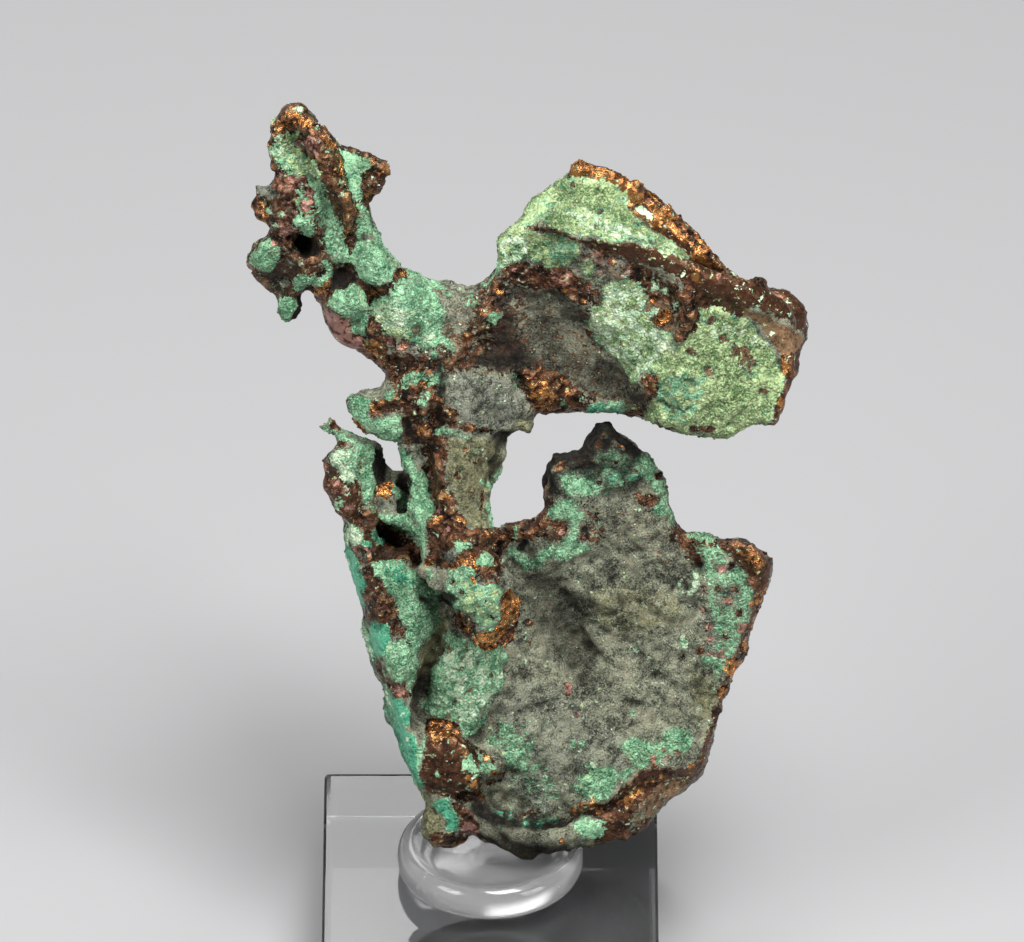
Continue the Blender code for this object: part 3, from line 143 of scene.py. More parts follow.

# Zones in painting order, by where they lie: kind, mineral, strength 0 to 1, softness or width,
# and points. A patch is a closed outline, a line is a stroke of that width, spots are round. A
# zone with no points takes those of the zone above. The dark zones are painted shade: shadows
# cast by overhangs, and shade in crevices, pits and on faces turned away from the light. Gold
# spots on bare copper are partly bright copper and partly painted glints.
ZONE_KINDS = ("patch", "line", "spots")
ZONES = {
    # Along the outline, the dark stroke over the peak of the plate is painted shadow cast by the
    # upper block.
    "strokes along the outline, under everything else": """
    line brown .85 22 262,140 270,116 290,104 315,108 334,128 345,150
    line mint .85 16 338,136 366,156
    line brown .85 18 366,154 396,168 392,190 384,206
    line mint .85 16 384,206 374,224 386,250 400,268
    line mint .85 16 410,272 430,284 448,300
    line cuprite .6 16 268,158 254,188 252,206 266,230
    line mint .85 14 262,232 246,254 250,272 270,280 284,298
    line lime .85 20 498,244 516,226 538,206 560,186
    line gold .85 20 563,166 600,166 640,184 672,212 704,246 738,280
    line brown .9 24 730,274 770,282 800,288 816,310 818,345 806,372 790,420 778,440
    line lime .85 22 776,420 750,446 716,452 684,444 650,430 632,416
    line teal .8 16 632,416 600,420 584,414
    line brown .6 16 580,418 550,424 524,430
    line dark .8 22 540,500 542,470 556,452 580,446 596,424 616,424 632,440 650,458
    line mint .8 18 650,458 668,484 680,520
    line brown .85 22 680,536 716,538 744,538 768,554 780,576 772,600 758,626 748,654 736,684
        724,716 720,748 716,780 700,794 668,808 640,834 604,852
    line mint .6 16 324,420 316,436 330,450
    line cuprite .7 18 318,466 320,500 338,526
    line teal .8 16 340,530 348,570 360,616 374,670 388,706 404,750 420,790
    line olive .7 24 424,810 430,850 470,850 500,858 540,872 590,862
    """,
    # On the arm the dark zones are painted shade in its pits and crevices and under its ledges, and
    # the gold spots on its dark knob are partly painted glints.
    "the arm": """
    patch brown .75 6 240,90 400,90 400,220 372,240 410,285 470,300 470,370 400,385 300,345 240,300
    patch gold .55 5 268,125 275,115 290,108 305,106 315,118 325,130 333,138 338,150 330,148 318,132
        300,128 285,132 272,150 266,160
    spots chalk .8 3 273,122 278,137 272,152 300,112 316,128 322,134
    line mint .5 4 273,140 275,160
    patch lime .95 2 283,133 300,131 296,139 284,141
    patch chalk .85 3 277,142 291,140 290,154 278,158
    patch cuprite .5 4 290,140 315,133 330,148 334,162 315,160 300,155 288,150
    patch cuprite .42 5 277,170 300,172 312,190 316,210 300,228 288,235 276,225 282,200 274,185
    patch dark .4 8 272,168 300,170 316,190 318,212 302,232 286,238 272,224
    patch chalk .55 4 279,152 298,155 318,164 324,180 330,196 320,204 308,186 290,176 278,168
    patch lime .55 4 276,140 292,142 318,164 324,180 308,186 290,178 276,160
    patch mint .85 4 308,176 322,186 334,208 345,235 352,262 334,264 326,250 324,235 318,215 312,198
    patch mint .6 3 295,190 303,188 312,205 318,222 308,235 296,222
    spots cuprite .9 5 307,205 302,180 284,232 292,178
    patch dark .3 8 310,180 332,200 352,250 388,262 446,300 446,345 410,350 376,305 336,300 300,320
        280,300 320,262
    patch brown .98 2 316,130 330,136 338,150 343,170 348,190 357,207 356,225 352,251 346,240
        340,215 330,195 322,180 319,160 322,148
    line gold .6 4 322,136 336,155 341,180 350,200 354,210
    spots gold .8 3 345,196 348,215 346,232 335,172 331,148 340,168
    spots chalk .8 3 326,150 338,182 342,194
    patch mint 1 2 333,137 341,149 352,153 364,158 370,164 363,172 361,190 358,204 350,192 345,170
        341,155
    patch mint .92 3 357,204 368,205 371,222 377,232 381,250 390,262 396,270 392,284 380,286 365,282
        358,272 351,262 353,250 357,230
    patch dark .35 3 364,160 385,158 393,172 392,180 383,192 384,203 370,205 363,195
    spots gold .95 3 380,175 388,174 368,194 376,193 366,200 372,160 386,166
    spots olive .6 5 364,238 372,240
    patch ash .7 3 250,187 260,184 279,190 278,198 262,200 251,194
    spots dark .9 3 274,192
    patch gold .6 3 253,206 262,201 269,214 267,226 259,222
    spots chalk .8 4 268,211 275,225 264,228 282,214
    patch dark .7 4 291,240 302,233 318,240 318,254 308,260 299,252
    spots mint .9 5 304,232 309,231 298,222
    patch mint .97 3 268,236 280,247 278,262 270,273 257,270 249,262 258,247
    spots cuprite .8 4 247,268 252,272 272,244
    patch dark .6 4 262,274 282,260 300,258 300,272 292,290 284,298 272,294
    spots ash .9 4 290,264 284,284
    patch mint .97 2 292,281 304,274 315,280 305,289 295,291
    patch mint 1 2 277,300 294,295 297,308 288,323 278,313
    patch dark .95 2 295,297 303,299 301,324 290,321 297,309
    patch gold .75 3 312,285 331,278 327,292 316,297
    line mint .85 6 325,262 331,272 318,283 306,277
    patch dark .9 4 334,270 346,268 358,281 350,288 336,291 329,286
    patch mint .97 3 326,306 336,288 354,285 367,292 370,318 362,337 350,335 350,320 335,311
    patch cuprite 1 3 323,309 335,312 349,322 352,335 364,343 359,350 345,349 334,340 328,325
    patch ash .3 5
    patch gold 1 2 361,350 372,338 379,345 377,356 369,355
    patch brown .95 3 366,288 380,288 391,283 395,269 404,270 407,279 396,291 381,299 368,303
    spots gold .5 5 372,294 400,276
    patch mint .95 4 395,283 410,277 425,283 435,291 444,306 446,325 441,345 425,350 409,343 399,327
        384,313 374,300 386,296
    patch lime .8 4 371,302 386,302 400,310 410,330 398,340 388,336 377,320
    patch chalk .6 3 371,302 386,302 400,310 405,325 398,334 388,336 377,320
    line brown .8 5 371,318 382,332 391,346
    spots olive .95 6 416,331
    spots chalk .95 5 427,339 432,335 404,314
    patch ash .5 4 388,332 405,338 430,352 442,346 448,356 440,378 400,378 384,356
    spots cuprite .6 5 392,342 402,347 424,362
    spots mint .9 4 437,362 440,370 436,352
    patch taupe .6 5 431,288 446,292 460,297 482,294 482,330 474,352 450,352 443,335 444,306
    patch ash .45 5 440,298 462,298 478,312 470,330 452,335
    patch mint .95 3 463,301 472,295 481,296 480,306 468,307
    patch mint .85 3 441,338 452,340 458,347 450,351 442,345
    """,
    # On the upper block the dark zones are painted shade on its left face, which turns down away
    # from the light, and in its creases. The chalk spots on its brown ridge are partly pale crust
    # and partly painted glints.
    "the upper block": """
    patch brown .55 5 482,262 530,262 570,268 600,290 640,380 655,400 640,420 520,425 480,380
        462,350
    patch ash .35 8 505,290 560,290 590,310 590,345 620,360 630,385 600,395 540,350 500,330
    patch dark .58 8 488,335 520,315 570,350 620,365 655,395 645,408 600,402 560,388 530,372 500,372
        480,360
    patch dark .38 10 505,275 560,285 590,320 560,340 500,320
    patch cuprite .35 6 505,268 560,266 590,285 590,300 555,290 510,280
    patch lime .9 4 500,241 514,233 530,230 545,233 575,236 582,250 572,264 550,268 532,258 516,262
        502,270
    patch chalk .6 3 500,241 514,234 528,236 526,256 514,264 502,262
    spots taupe .9 4 518,247 510,254
    patch mint .7 3 545,240 570,240 578,250 570,262 552,262
    patch mint .8 3 521,225 530,209 543,199 556,197 552,212 545,222 533,226
    patch lime .55 4 521,225 530,209 543,199 560,192 556,212 545,222 533,226
    patch lime .95 3 546,222 557,200 567,186 575,175 600,179 618,185 628,199 634,216 648,231 668,239
        692,256 682,261 655,251 620,241 580,233 552,230
    patch chalk .5 5 556,210 600,214 640,232 668,242 680,256 640,245 590,232
    spots taupe .85 4 575,204 552,213 600,213 572,186 597,227 620,197
    line ash .6 7 628,240 655,244
    patch gold .68 3 567,180 571,167 590,169 615,174 632,184 650,197 666,210 690,237 714,262 732,282
        704,270 688,257 668,239 650,231 634,216 622,208 628,199 618,187 602,179 580,174
    line brown .6 7 640,190 672,216 700,246 722,270
    line brown .5 5 628,222 650,228 668,236 690,250
    spots chalk .95 3 640,209 646,214 651,218 643,213
    line brown .95 3 518,227 535,228 560,231 576,236
    patch brown 1 3 574,235 605,240 640,245 690,260 716,268 730,278 752,286 775,288 792,293 803,305
        810,338 796,325 770,312 740,300 715,297 702,290 690,300 680,277 650,266 620,255 598,250
    patch gold .7 4 688,268 702,268 704,290 698,315 690,322 686,300 692,285
    patch brown .9 3 700,290 700,318 690,335 678,345 676,335 684,312 686,290
    spots chalk .9 1.4 684,274 697,268 702,278 718,262 734,275 744,286 757,306 760,300 788,300
        790,316 706,294 671,262 642,264 735,284 751,288
    patch taupe .9 3 706,298 740,306 772,318 800,335 807,348 796,362 785,358 775,346 762,326 738,314
        712,308
    patch cuprite .38 5 578,242 600,250 626,258 645,275 650,290 620,285 596,278 580,262
    spots gold .8 3 600,253 612,262 592,246 620,252 632,278 640,284
    patch lime .9 2 580,261 590,258 597,270 590,281 583,272
    patch brown .85 5 630,262 660,276 690,292 704,318 690,345 678,338 670,312 650,296 632,282
    patch brown .9 4 688,284 720,294 750,304 742,320 712,314 698,328 690,322
    patch lime .9 3 602,287 625,281 640,287 646,299 640,311 650,312 656,326 672,334 676,350 660,366
        642,372 633,386 622,371 618,356 600,346 589,326 592,309 606,304
    patch chalk .52 3
    patch taupe .85 3 645,296 660,299 672,314 680,330 670,334 656,326 646,312
    spots gold .95 5 661,321 664,315 653,300
    spots chalk .8 5 656,288 664,291 675,305 655,312
    patch lime 1 3 700,309 712,307 737,317 752,325 760,339 772,347 776,365 785,376 782,395 772,415
        766,427 750,426 735,438 720,443 700,431 680,433 655,421 646,410 655,396 660,386 650,371
        665,361 680,346 688,334 698,326
    patch chalk .35 6 700,312 750,326 765,345 730,345 706,335
    patch mint .9 4 660,381 680,372 700,375 706,392 696,412 680,421 664,413 658,396
    patch lime .4 5
    patch dark .3 6
    line dark .7 2 662,400 672,410 684,412 692,406
    line dark .5 2 664,383 676,378 690,380 698,388
    patch taupe .8 4 733,342 748,344 758,364 750,376 738,365 728,354
    spots taupe .95 6 712,320 724,338 708,372 742,352 764,392 690,352
    line brown .98 9 808,344 797,366 791,386 784,410 778,430
    patch brown .95 3 783,356 802,350 798,376 791,400 783,430 767,429 775,405 786,380
    spots gold .9 4 784,358 787,366 786,374 780,402
    line brown .95 6 690,427 712,430
    line brown .8 4 655,421 680,433
    patch brown .92 3 640,371 655,375 661,386 655,401 645,396 638,381
    spots gold .8 3 655,388 657,378 650,381
    patch brown .9 4 520,372 540,361 562,375 578,388 588,402 585,410 560,419 538,413 524,398
    patch gold .7 4 526,380 548,380 556,395 550,412 536,406 528,395
    spots gold .95 3 550,398 548,406 532,398 568,394 562,378 556,372 540,370
    patch teal .6 3 585,403 600,400 626,400 626,412 608,416 590,413
    spots mint .8 4 563,402 583,400 600,411 618,404 512,378 515,386
    patch brown .95 2 624,410 645,406 643,420 630,422
    patch brown .5 8 484,290 520,296 536,330 510,360 484,350
    patch dark .5 10 490,290 560,290 600,330 640,370 640,400 580,390 530,370 490,360
    patch taupe .35 8 510,300 560,300 590,340 640,370 650,396 600,398 560,380 520,350
    spots mint .9 5 493,315 491,320 497,316
    spots gold .8 3 482,312 500,292 563,292 584,300 588,332 466,338 498,288
    line mint .8 4 484,285 496,274 503,262
    """,
    # On the neck the dark zones are painted shade under the upper block, in the neck's creases and
    # under the hanging lump, and a broad one shades the neck as a whole.
    "the neck and what hangs on it": """
    patch ash .7 8 449,376 480,371 505,377 526,394 532,410 520,426 500,428 470,426 455,420 447,400
    patch dark .4 8 445,357 480,356 510,362 520,372 500,376 470,370 448,374
    patch brown .75 4 384,355 440,360 440,440 405,445 396,405
    patch mint .97 3 348,399 358,396 374,400 369,412 372,419 386,418 400,414 403,430 396,441 380,439
        369,430 360,421 350,416
    patch brown .95 2 370,406 386,397 401,394 403,405 390,412 377,418 370,415
    spots gold .9 3 376,407 382,402 392,398 399,400
    line gold .9 3 349,417 362,427
    spots gold 1 4 361,431
    patch mint .8 3 381,396 392,386 397,399 388,402
    patch mint .75 4 399,380 410,371 430,374 442,382 430,388 414,384 402,390
    spots mint .9 4 419,402 427,394 424,404 438,377 441,384
    spots gold .9 3 423,386 413,392 405,402 420,431 426,427 438,401
    line dark .7 6 438,366 442,390 436,410 440,428
    spots dark .9 5 408,425 410,433 416,441
    patch brown .95 3 439,407 450,404 459,412 457,425 446,427 438,420
    spots gold .8 3 447,413 453,410
    line mint .9 6 437,431 452,431 463,436 468,442
    line brown .85 6 456,425 475,429 492,431
    spots gold .7 3 470,428 486,430 436,439 444,437
    patch olive .6 3 514,420 536,415 533,438 519,438
    patch dark .9 4 484,440 498,430 516,431 506,441 492,451
    patch olive .85 6 447,440 500,438 506,458 497,474 488,500 490,530 472,530 456,506 446,480
    patch brown .85 5 424,440 447,440 446,480 457,506 472,530 450,548 428,545 424,520 428,490
        418,460
    spots gold .97 4 447,497 441,496 440,518 436,524 461,521
    spots cuprite .7 4 430,476 436,508 446,528 430,528
    spots ash .8 5 418,458 424,462
    patch dark .42 12 446,440 500,438 500,470 488,520 460,520 448,480
    line dark .4 9 500,444 498,462 490,484
    spots brown .8 4 466,450 458,474 478,462 470,492
    spots mint .7 3 476,450 464,464 482,482
    line mint .9 4 497,472 491,484 488,492
    line mint .9 4 487,505 490,520 494,530
    line brown .7 4 484,492 482,510
    patch mint .97 3 402,448 411,455 414,468 426,474 427,490 433,502 431,516 424,532 431,545 427,562
        417,552 411,535 395,528 386,520 392,514 406,511 413,500 409,484 407,470 402,458
    patch brown .85 4 428,540 470,528 506,530 522,535 506,550 500,566 470,569 440,569 428,560
    patch gold .6 5 450,556 470,558 500,560 496,568 470,572 446,570
    spots gold .9 3 470,556 492,566 430,563 462,541 488,532 445,548 500,540 508,536
    patch ash .95 3 438,552 450,548 460,552 456,562 444,562
    spots mint .95 5 458,546 466,546 486,556 489,562 482,562
    patch mint .92 3 448,572 458,567 470,565 478,572 474,584 488,580 502,588 502,596 497,606 500,620
        490,630 478,622 469,614 450,606 444,590
    patch lime .5 6 450,582 472,584 498,588 500,616 486,628 464,608
    patch brown .85 3 476,568 500,566 502,576 486,580 476,578
    line gold .8 3 472,570 470,580 480,584 500,582
    spots brown .9 4 462,592 486,600 474,612 452,582 492,616
    patch dark .7 3 434,594 452,592 460,600 450,608 438,600
    patch gold .95 3 499,594 512,589 521,600 519,622 512,641 500,651 486,653 476,646 469,634 484,630
        494,630 501,616
    line brown .6 5 515,622 508,640 494,650
    line cuprite .36 6 476,640 494,647 508,638 514,620
    patch brown .9 3 452,616 462,612 476,622 478,630 468,632 456,626
    spots gold .8 3 461,615 466,628 478,640 484,643
    spots mint .8 3 490,628 428,570 432,577 422,566
    """,
    # On the left ridge the dark zones are painted shade in its pits and crevice, and the pale chalk
    # patch on the red-brown lump is a painted sheen.
    "the left ridge": """
    patch brown .5 5 312,420 360,440 420,520 420,700 380,700 340,540 315,460
    patch mint .75 3 318,428 334,427 342,434 358,442 366,444 350,448 336,438
    spots brown .9 3 318,432 328,440 342,444 332,426
    patch chalk .9 3 328,463 340,451 357,450 360,468 354,484 345,482 340,472
    patch mint .5 3 340,452 358,450 358,480 348,470
    patch brown .97 3 322,471 336,467 343,480 352,489 359,487 360,502 355,523 340,523 330,506
        325,490
    patch cuprite .5 5 326,474 340,480 352,492 356,512 342,518 332,500
    patch chalk .5 2 334,500 350,489 353,494 344,507 338,514
    spots gold .6 3 356,520 360,465 362,470 354,484
    patch mint 1 3 356,442 369,442 376,464 377,484 373,496 365,502 360,482 362,465 357,452
    patch dark .9 3 373,447 383,450 389,470 386,482 377,487 371,470
    patch dark .9 3 395,478 403,471 411,480 413,499 405,496 397,486
    patch gold .9 2 379,486 388,479 393,488 386,501 377,496
    patch mint .95 2 392,482 401,490 409,502 405,511 398,500 392,492
    patch ash .7 3 376,500 396,500 402,510 390,517 378,512
    patch mint .85 3 364,500 378,512 395,516 410,516 420,540 395,528 375,515
    patch brown .9 4 357,512 374,511 388,524 396,532 420,552 424,566 405,560 385,561 366,560 364,535
    patch dark .5 6
    spots teal .9 5 373,534 380,540 368,545
    patch mint .9 4 372,562 394,560 412,571 430,586 442,602 440,626 428,642 414,650 412,630 402,612
        392,598 382,580
    patch teal .5 4 372,562 394,560 412,571 422,590 400,590 384,578
    patch dark .75 4 416,592 430,596 436,610 428,617 420,606
    patch brown .6 4 362,570 375,571 396,600 401,613 386,605 366,606
    spots mint .7 4 384,582 392,592 378,572
    patch brown .75 4 360,608 381,600 401,612 401,632 386,630 370,624
    spots dark .5 5 384,606 394,620
    patch teal .97 3 346,546 355,552 363,580 363,604 355,594 349,572
    patch chalk .9 3 346,524 358,527 366,541 356,546 347,540
    spots chalk .95 3 347,556 348,562
    line cuprite .8 4 354,546 366,548 370,558
    patch teal 1 2 371,622 388,624 391,640 388,656 375,657 369,640
    line chalk .6 3 359,610 364,626 370,644 374,660
    patch mint 1 3 399,610 420,602 434,606 436,616 428,632 418,648 415,676 410,694 406,670 402,656
        398,645 406,632 402,625
    patch mint .8 4 387,640 404,640 410,655 410,676 400,684 388,678 382,665
    patch mint .5 3 386,655 400,662 404,680 390,676 382,668
    line brown .9 4 379,664 387,680 396,692
    patch cuprite .85 3 390,686 405,682 409,695 397,698
    line brown .8 3 408,626 402,634 412,644
    patch olive .9 4 440,604 449,620 449,640 440,656 431,666 425,681 417,676 419,656 429,636 438,622
    patch dark .58 7 414,681 432,664 431,690 425,706 421,722 426,736 411,730 409,713 412,700
    patch ash .6 4 374,660 384,690 390,715 396,736 406,766 416,788 404,776 388,730 378,690
    patch teal .95 3 388,694 401,700 413,714 409,727 396,716
    patch teal .95 3 401,730 412,735 420,755 424,772 418,786 409,760
    line chalk .9 3 387,694 391,702
    line chalk .7 3 406,762 414,782
    line mint .9 5 426,735 421,750 419,768
    """,
    # On the lower left of the plate the chalk over the mint plate is partly pale crust and partly
    # painted light on that face, and the dark zones are painted shadow under the copper blade and
    # painted shade along the lower rim.
    "the lower left of the plate": """
    patch mint .97 3 448,629 460,635 471,645 486,653 501,648 509,660 501,672 504,686 495,700 490,716
        480,726 478,736 462,739 455,725 441,718 428,713 421,706 430,690 431,670 440,661 450,656
        449,641
    patch chalk .5 6 444,636 470,646 496,656 500,680 488,712 470,726 455,716 430,708 440,680
    line brown .8 3 445,688 442,700 438,708
    spots taupe .9 4 461,669 455,703 450,714 450,648 478,664 470,690 490,674 466,648
    patch olive .6 3 478,704 488,702 487,716 478,722
    patch taupe .6 4 489,692 500,694 497,730 489,728 486,712
    patch mint .9 4 486,738 495,735 503,725 508,719 513,740 528,752 527,764 520,771 505,762 500,750
        489,746
    spots mint .6 4 546,786 556,796 549,790 503,655
    patch ash .6 6 512,770 530,775 545,795 560,810 540,812 520,790
    patch brown .97 3 427,718 445,718 459,725 463,737 476,745 480,760 481,780 487,802 470,802
        440,797 424,790 419,774 424,755
    patch gold .6 3 429,720 445,719 458,725 461,735 445,742 434,746 428,735
    line gold .5 3 448,742 462,748 464,768
    patch dark .36 4 425,770 445,772 466,790 480,802 440,797 424,788
    spots mint .7 3 438,775 448,780 434,756 460,783 468,787
    patch mint .85 3 462,754 471,752 477,766 479,778 472,774 463,771
    patch gold .95 2 464,771 472,776 478,786 470,786
    patch mint .75 3 474,744 488,756 500,770 490,779 480,772 479,758
    line brown .9 4 476,746 492,760 505,774 500,783 488,782
    spots gold .9 3 492,773 499,774 487,758
    patch dark .6 7 470,795 500,800 515,806 512,826 492,828 478,812
    spots teal .6 3 500,812 512,810 505,820 495,816 516,822 500,826
    line teal .55 5 522,824 540,822 560,817
    line brown .8 5 522,816 534,812
    patch olive .8 4 424,808 440,806 446,830 430,834 421,820
    patch brown .8 3 427,833 446,831 460,840 466,846 452,854 436,850
    spots gold .7 3 434,838 441,842 452,834 462,842
    patch teal .95 2 429,803 446,800 456,812 457,830 448,833 443,816
    patch brown .9 2 450,800 466,806 478,818 466,820 456,814
    patch brown .95 2 459,818 478,820 480,835 466,843 458,836
    patch cuprite .55 3 460,820 476,822 478,834 466,841
    line dark .7 6 478,838 500,851 520,866 545,869 580,859
    patch olive .5 5 520,850 550,852 545,868 526,866
    """,
    # On the plate the darkest patches on the peak are painted shadow cast by the upper block, the
    # broad dark patch across its left middle is painted shadow of the hanging lump and shade in its
    # hollow, and the other dark zones are painted shade under ledges and along the lower rim.
    "the plate: peak, rims and patches": """
    patch ash .42 12 480,690 540,680 600,710 640,750 600,800 540,806 500,780
    patch mint .4 10 498,716 524,722 548,760 564,800 540,806 508,784
    patch dark .38 8 470,812 520,824 570,830 600,845 590,866 540,880 490,862 468,836
    line dark .66 9 472,808 500,818 530,824 562,822
    spots teal .8 3 500,812 510,818 526,823 540,824 556,820 492,808 548,818
    patch dark .5 8 470,836 500,836 560,846 600,850 590,868 540,880 490,862
    patch dark .92 6 584,441 595,427 608,424 618,435 630,445 643,456 640,461 625,456 610,451 590,456
        582,451
    patch dark .52 5 542,490 547,473 552,459 566,454 586,449 586,456 562,470 566,492 552,505 543,500
    spots gold .9 3 561,463 565,465 624,446
    patch mint .72 6 588,453 620,451 640,458 652,462 656,470 640,482 630,491 600,497 580,492 562,488
        558,476 590,470
    line brown .8 6 552,470 568,461 592,457
    line brown .7 5 548,480 546,493 552,503
    spots brown .7 5 604,436 616,444 598,446
    patch dark .64 8 584,450 640,456 652,474 640,490 600,494 580,480
    spots brown .8 4 596,462 618,462 636,470 600,482 624,486 574,480
    patch dark .6 3 556,456 590,450 600,468 570,472
    spots teal .8 4 606,472 614,479 632,477 588,487
    patch mint .8 3 560,475 580,480 600,492 585,497 565,494
    patch dark .45 7 598,496 634,486 648,491 640,502 610,507
    patch mint .85 3 644,457 655,469 663,486 661,497 650,486 641,472
    patch brown .95 2 654,470 662,470 664,480 655,481
    patch brown .9 4 634,494 656,494 660,503 648,510 638,506
    patch mint .9 3 650,506 665,498 669,512 656,519
    line brown .7 3 664,486 669,502 674,520
    patch brown .75 4 506,522 518,528 532,522 547,514 562,518 570,530 560,541 540,541 520,544
        509,540
    patch brown .9 4 498,532 506,514 520,508 534,503 548,498 552,512 540,524 520,532
    patch dark .5 4 498,532 506,514 520,508 534,503 548,498 550,506 520,522
    patch dark .6 3 506,520 516,526 534,519 546,511 540,524 520,532
    patch mint .92 3 546,519 552,505 560,498 576,498 586,510 580,520 578,536 591,545 586,552 566,561
        551,556 540,569 524,569 511,558 507,548 514,545 520,556 530,560 545,546 565,540 570,530
        564,520
    spots taupe .9 4 551,531 551,537
    spots cuprite .8 4 561,533 583,537
    spots mint .9 4 517,530 516,536 590,520 584,517 601,524
    patch brown .5 5 572,500 590,498 612,530 600,545 580,540 584,515
    spots dark .8 5 521,550 524,546 585,530
    patch taupe .3 8 600,505 650,510 685,545 690,590 640,560 605,545
    patch brown .8 4 679,543 696,545 704,556 702,574 692,566 684,556
    patch dark .4 4 684,548 698,552 700,570 690,562
    patch mint .75 4 682,534 700,531 716,540 735,550 746,574 756,590 750,610 741,640 735,652 727,666
        716,682 702,662 710,640 707,600 701,570 705,556
    patch ash .5 6 712,580 740,586 742,600 728,612 712,604
    spots cuprite .95 4.5 703,588 704,612 708,628 711,640 712,654 728,600 722,655 720,570 742,628
    spots brown .9 5 734,590 726,636 700,650 716,588 738,612 706,676 730,566
    line ash .5 7 700,566 704,600 716,640 710,668
    spots dark .7 3 719,556 724,557 716,572
    line chalk 1 4 692,571 697,580 691,594
    spots chalk .95 3 678,585 678,594 682,640 713,660
    spots dark .8 4 686,590 672,589 700,566
    line brown .8 3 683,541 700,543 716,546
    patch brown .97 3 716,542 738,539 755,547 768,559 776,575 771,590 763,602 752,590 745,575
        734,561 724,550
    patch gold .6 4 735,545 755,550 765,565 758,575 745,565
    spots gold .8 3 758,598 762,592 752,604 756,610
    line brown .95 6 766,598 757,620 750,640 741,660 731,690 720,716 714,748
    line gold .6 3 757,612 749,634 742,650
    patch gold .9 2 723,665 732,657 740,665 732,680 726,674
    patch gold .9 2 716,690 726,684 728,692 719,698
    spots dark .7 4 714,700 716,708
    patch olive .5 8 580,605 600,585 640,580 680,598 695,622 660,632 620,642 592,622
    patch olive .7 6 690,672 716,676 714,705 704,726 694,712 686,690
    patch dark .5 16 505,580 530,560 560,575 585,605 600,640 604,680 580,694 556,668 534,640 516,612
    patch dark .35 6 595,700 640,700 645,716 610,716
    line dark .6 3 632,655 645,668 660,684
    spots chalk .7 4 683,646
    spots brown .9 4 680,658 530,644 528,622
    spots cuprite .8 3 578,715 568,686 567,692 530,622
    spots mint .9 4 573,745 581,743 634,713
    patch mint .92 3 618,746 630,736 642,740 652,745 660,740 665,730 682,727 696,736 690,749 681,757
        665,761 650,763 640,771 630,762 625,752
    spots cuprite .85 4 665,748 678,752 653,760 668,758
    patch mint .95 3 572,786 580,776 592,768 612,767 622,776 612,790 606,800 590,800 579,792
    patch mint .75 3 620,772 636,766 632,776 622,782
    line chalk .8 3 584,767 596,764
    patch brown .97 3 560,817 580,812 602,806 616,794 626,784 641,771 656,764 671,766 690,766
        700,758 703,740 709,724 717,734 713,762 710,778 700,788 681,793 666,803 655,815 640,828
        625,841 604,848 588,838 600,826 602,815 580,818
    patch gold .8 3 578,806 596,799 604,802 594,810 576,813
    patch gold .45 4 612,804 640,782 662,772 668,780 645,796 625,808
    spots gold .7 4 655,783 630,800 600,811 690,766
    patch taupe .7 5 652,784 672,778 694,782 704,786 681,794 666,804 650,818 630,832 632,815
    patch dark .4 5 590,838 620,836 640,826 626,842 602,850
    spots olive .8 4 634,820 640,815 592,850
    patch mint .85 3 571,826 585,817 601,821 607,832 596,841 580,840
    patch dark .3 4
    line dark .8 3 568,822 584,815 602,818
    spots gold .95 3 562,842 567,855
    spots mint .9 3 577,853 573,857
    """,
}

# Smooth places: strength and outline. There the crust is a film and the metal is bare and worn.
SMOOTH = (
    (.9, "322,309 335,312 349,322 352,335 364,343 359,350 345,349 334,340"),
    (.8, "333,137 352,153 370,164 361,191 358,204 350,192 345,170"),
    (.8, "346,546 355,552 363,580 363,604 355,594 349,572"),
    (.9, "371,622 388,624 391,640 388,656 375,657 369,640"),
    (.8, "388,694 401,700 413,714 424,772 418,786 396,730"),
    (.55, "427,718 445,718 459,725 463,737 476,745 481,780 487,802 440,797 424,790 419,774"),
    (.6, "440,604 449,620 449,640 431,666 425,681 417,676 419,656 438,622"),
    (.8, "429,803 446,800 456,812 457,830 448,833 443,816"),
    (.8, "459,818 478,820 480,835 466,843 458,836"),
    (.7, "322,471 336,467 352,489 360,502 355,523 340,523 325,490"),
    (.95, "574,235 640,245 716,268 730,278 792,293 803,305 810,338 770,312 700,290 620,255"),
    (.95, "706,298 740,306 800,335 807,348 796,362 785,358 762,326 712,308"),
    (.6, "783,356 802,350 791,400 783,430 767,429 775,405"),
    (.7, "567,180 571,167 632,184 690,237 732,282 688,257 634,216 602,179"),
    (.5, "652,784 694,782 704,786 666,804 630,832 632,815"),
    (.6, "521,225 530,209 543,199 556,197 552,212 533,226"),
    (.5, "560,817 616,794 656,764 700,758 709,724 717,734 710,778 681,793 640,828 604,848"),
    (.15, "476,646 469,634 499,594 512,589 521,600 519,622 512,641 500,651"),
    (.5, "716,542 738,539 755,547 776,575 763,602 745,575"),
)

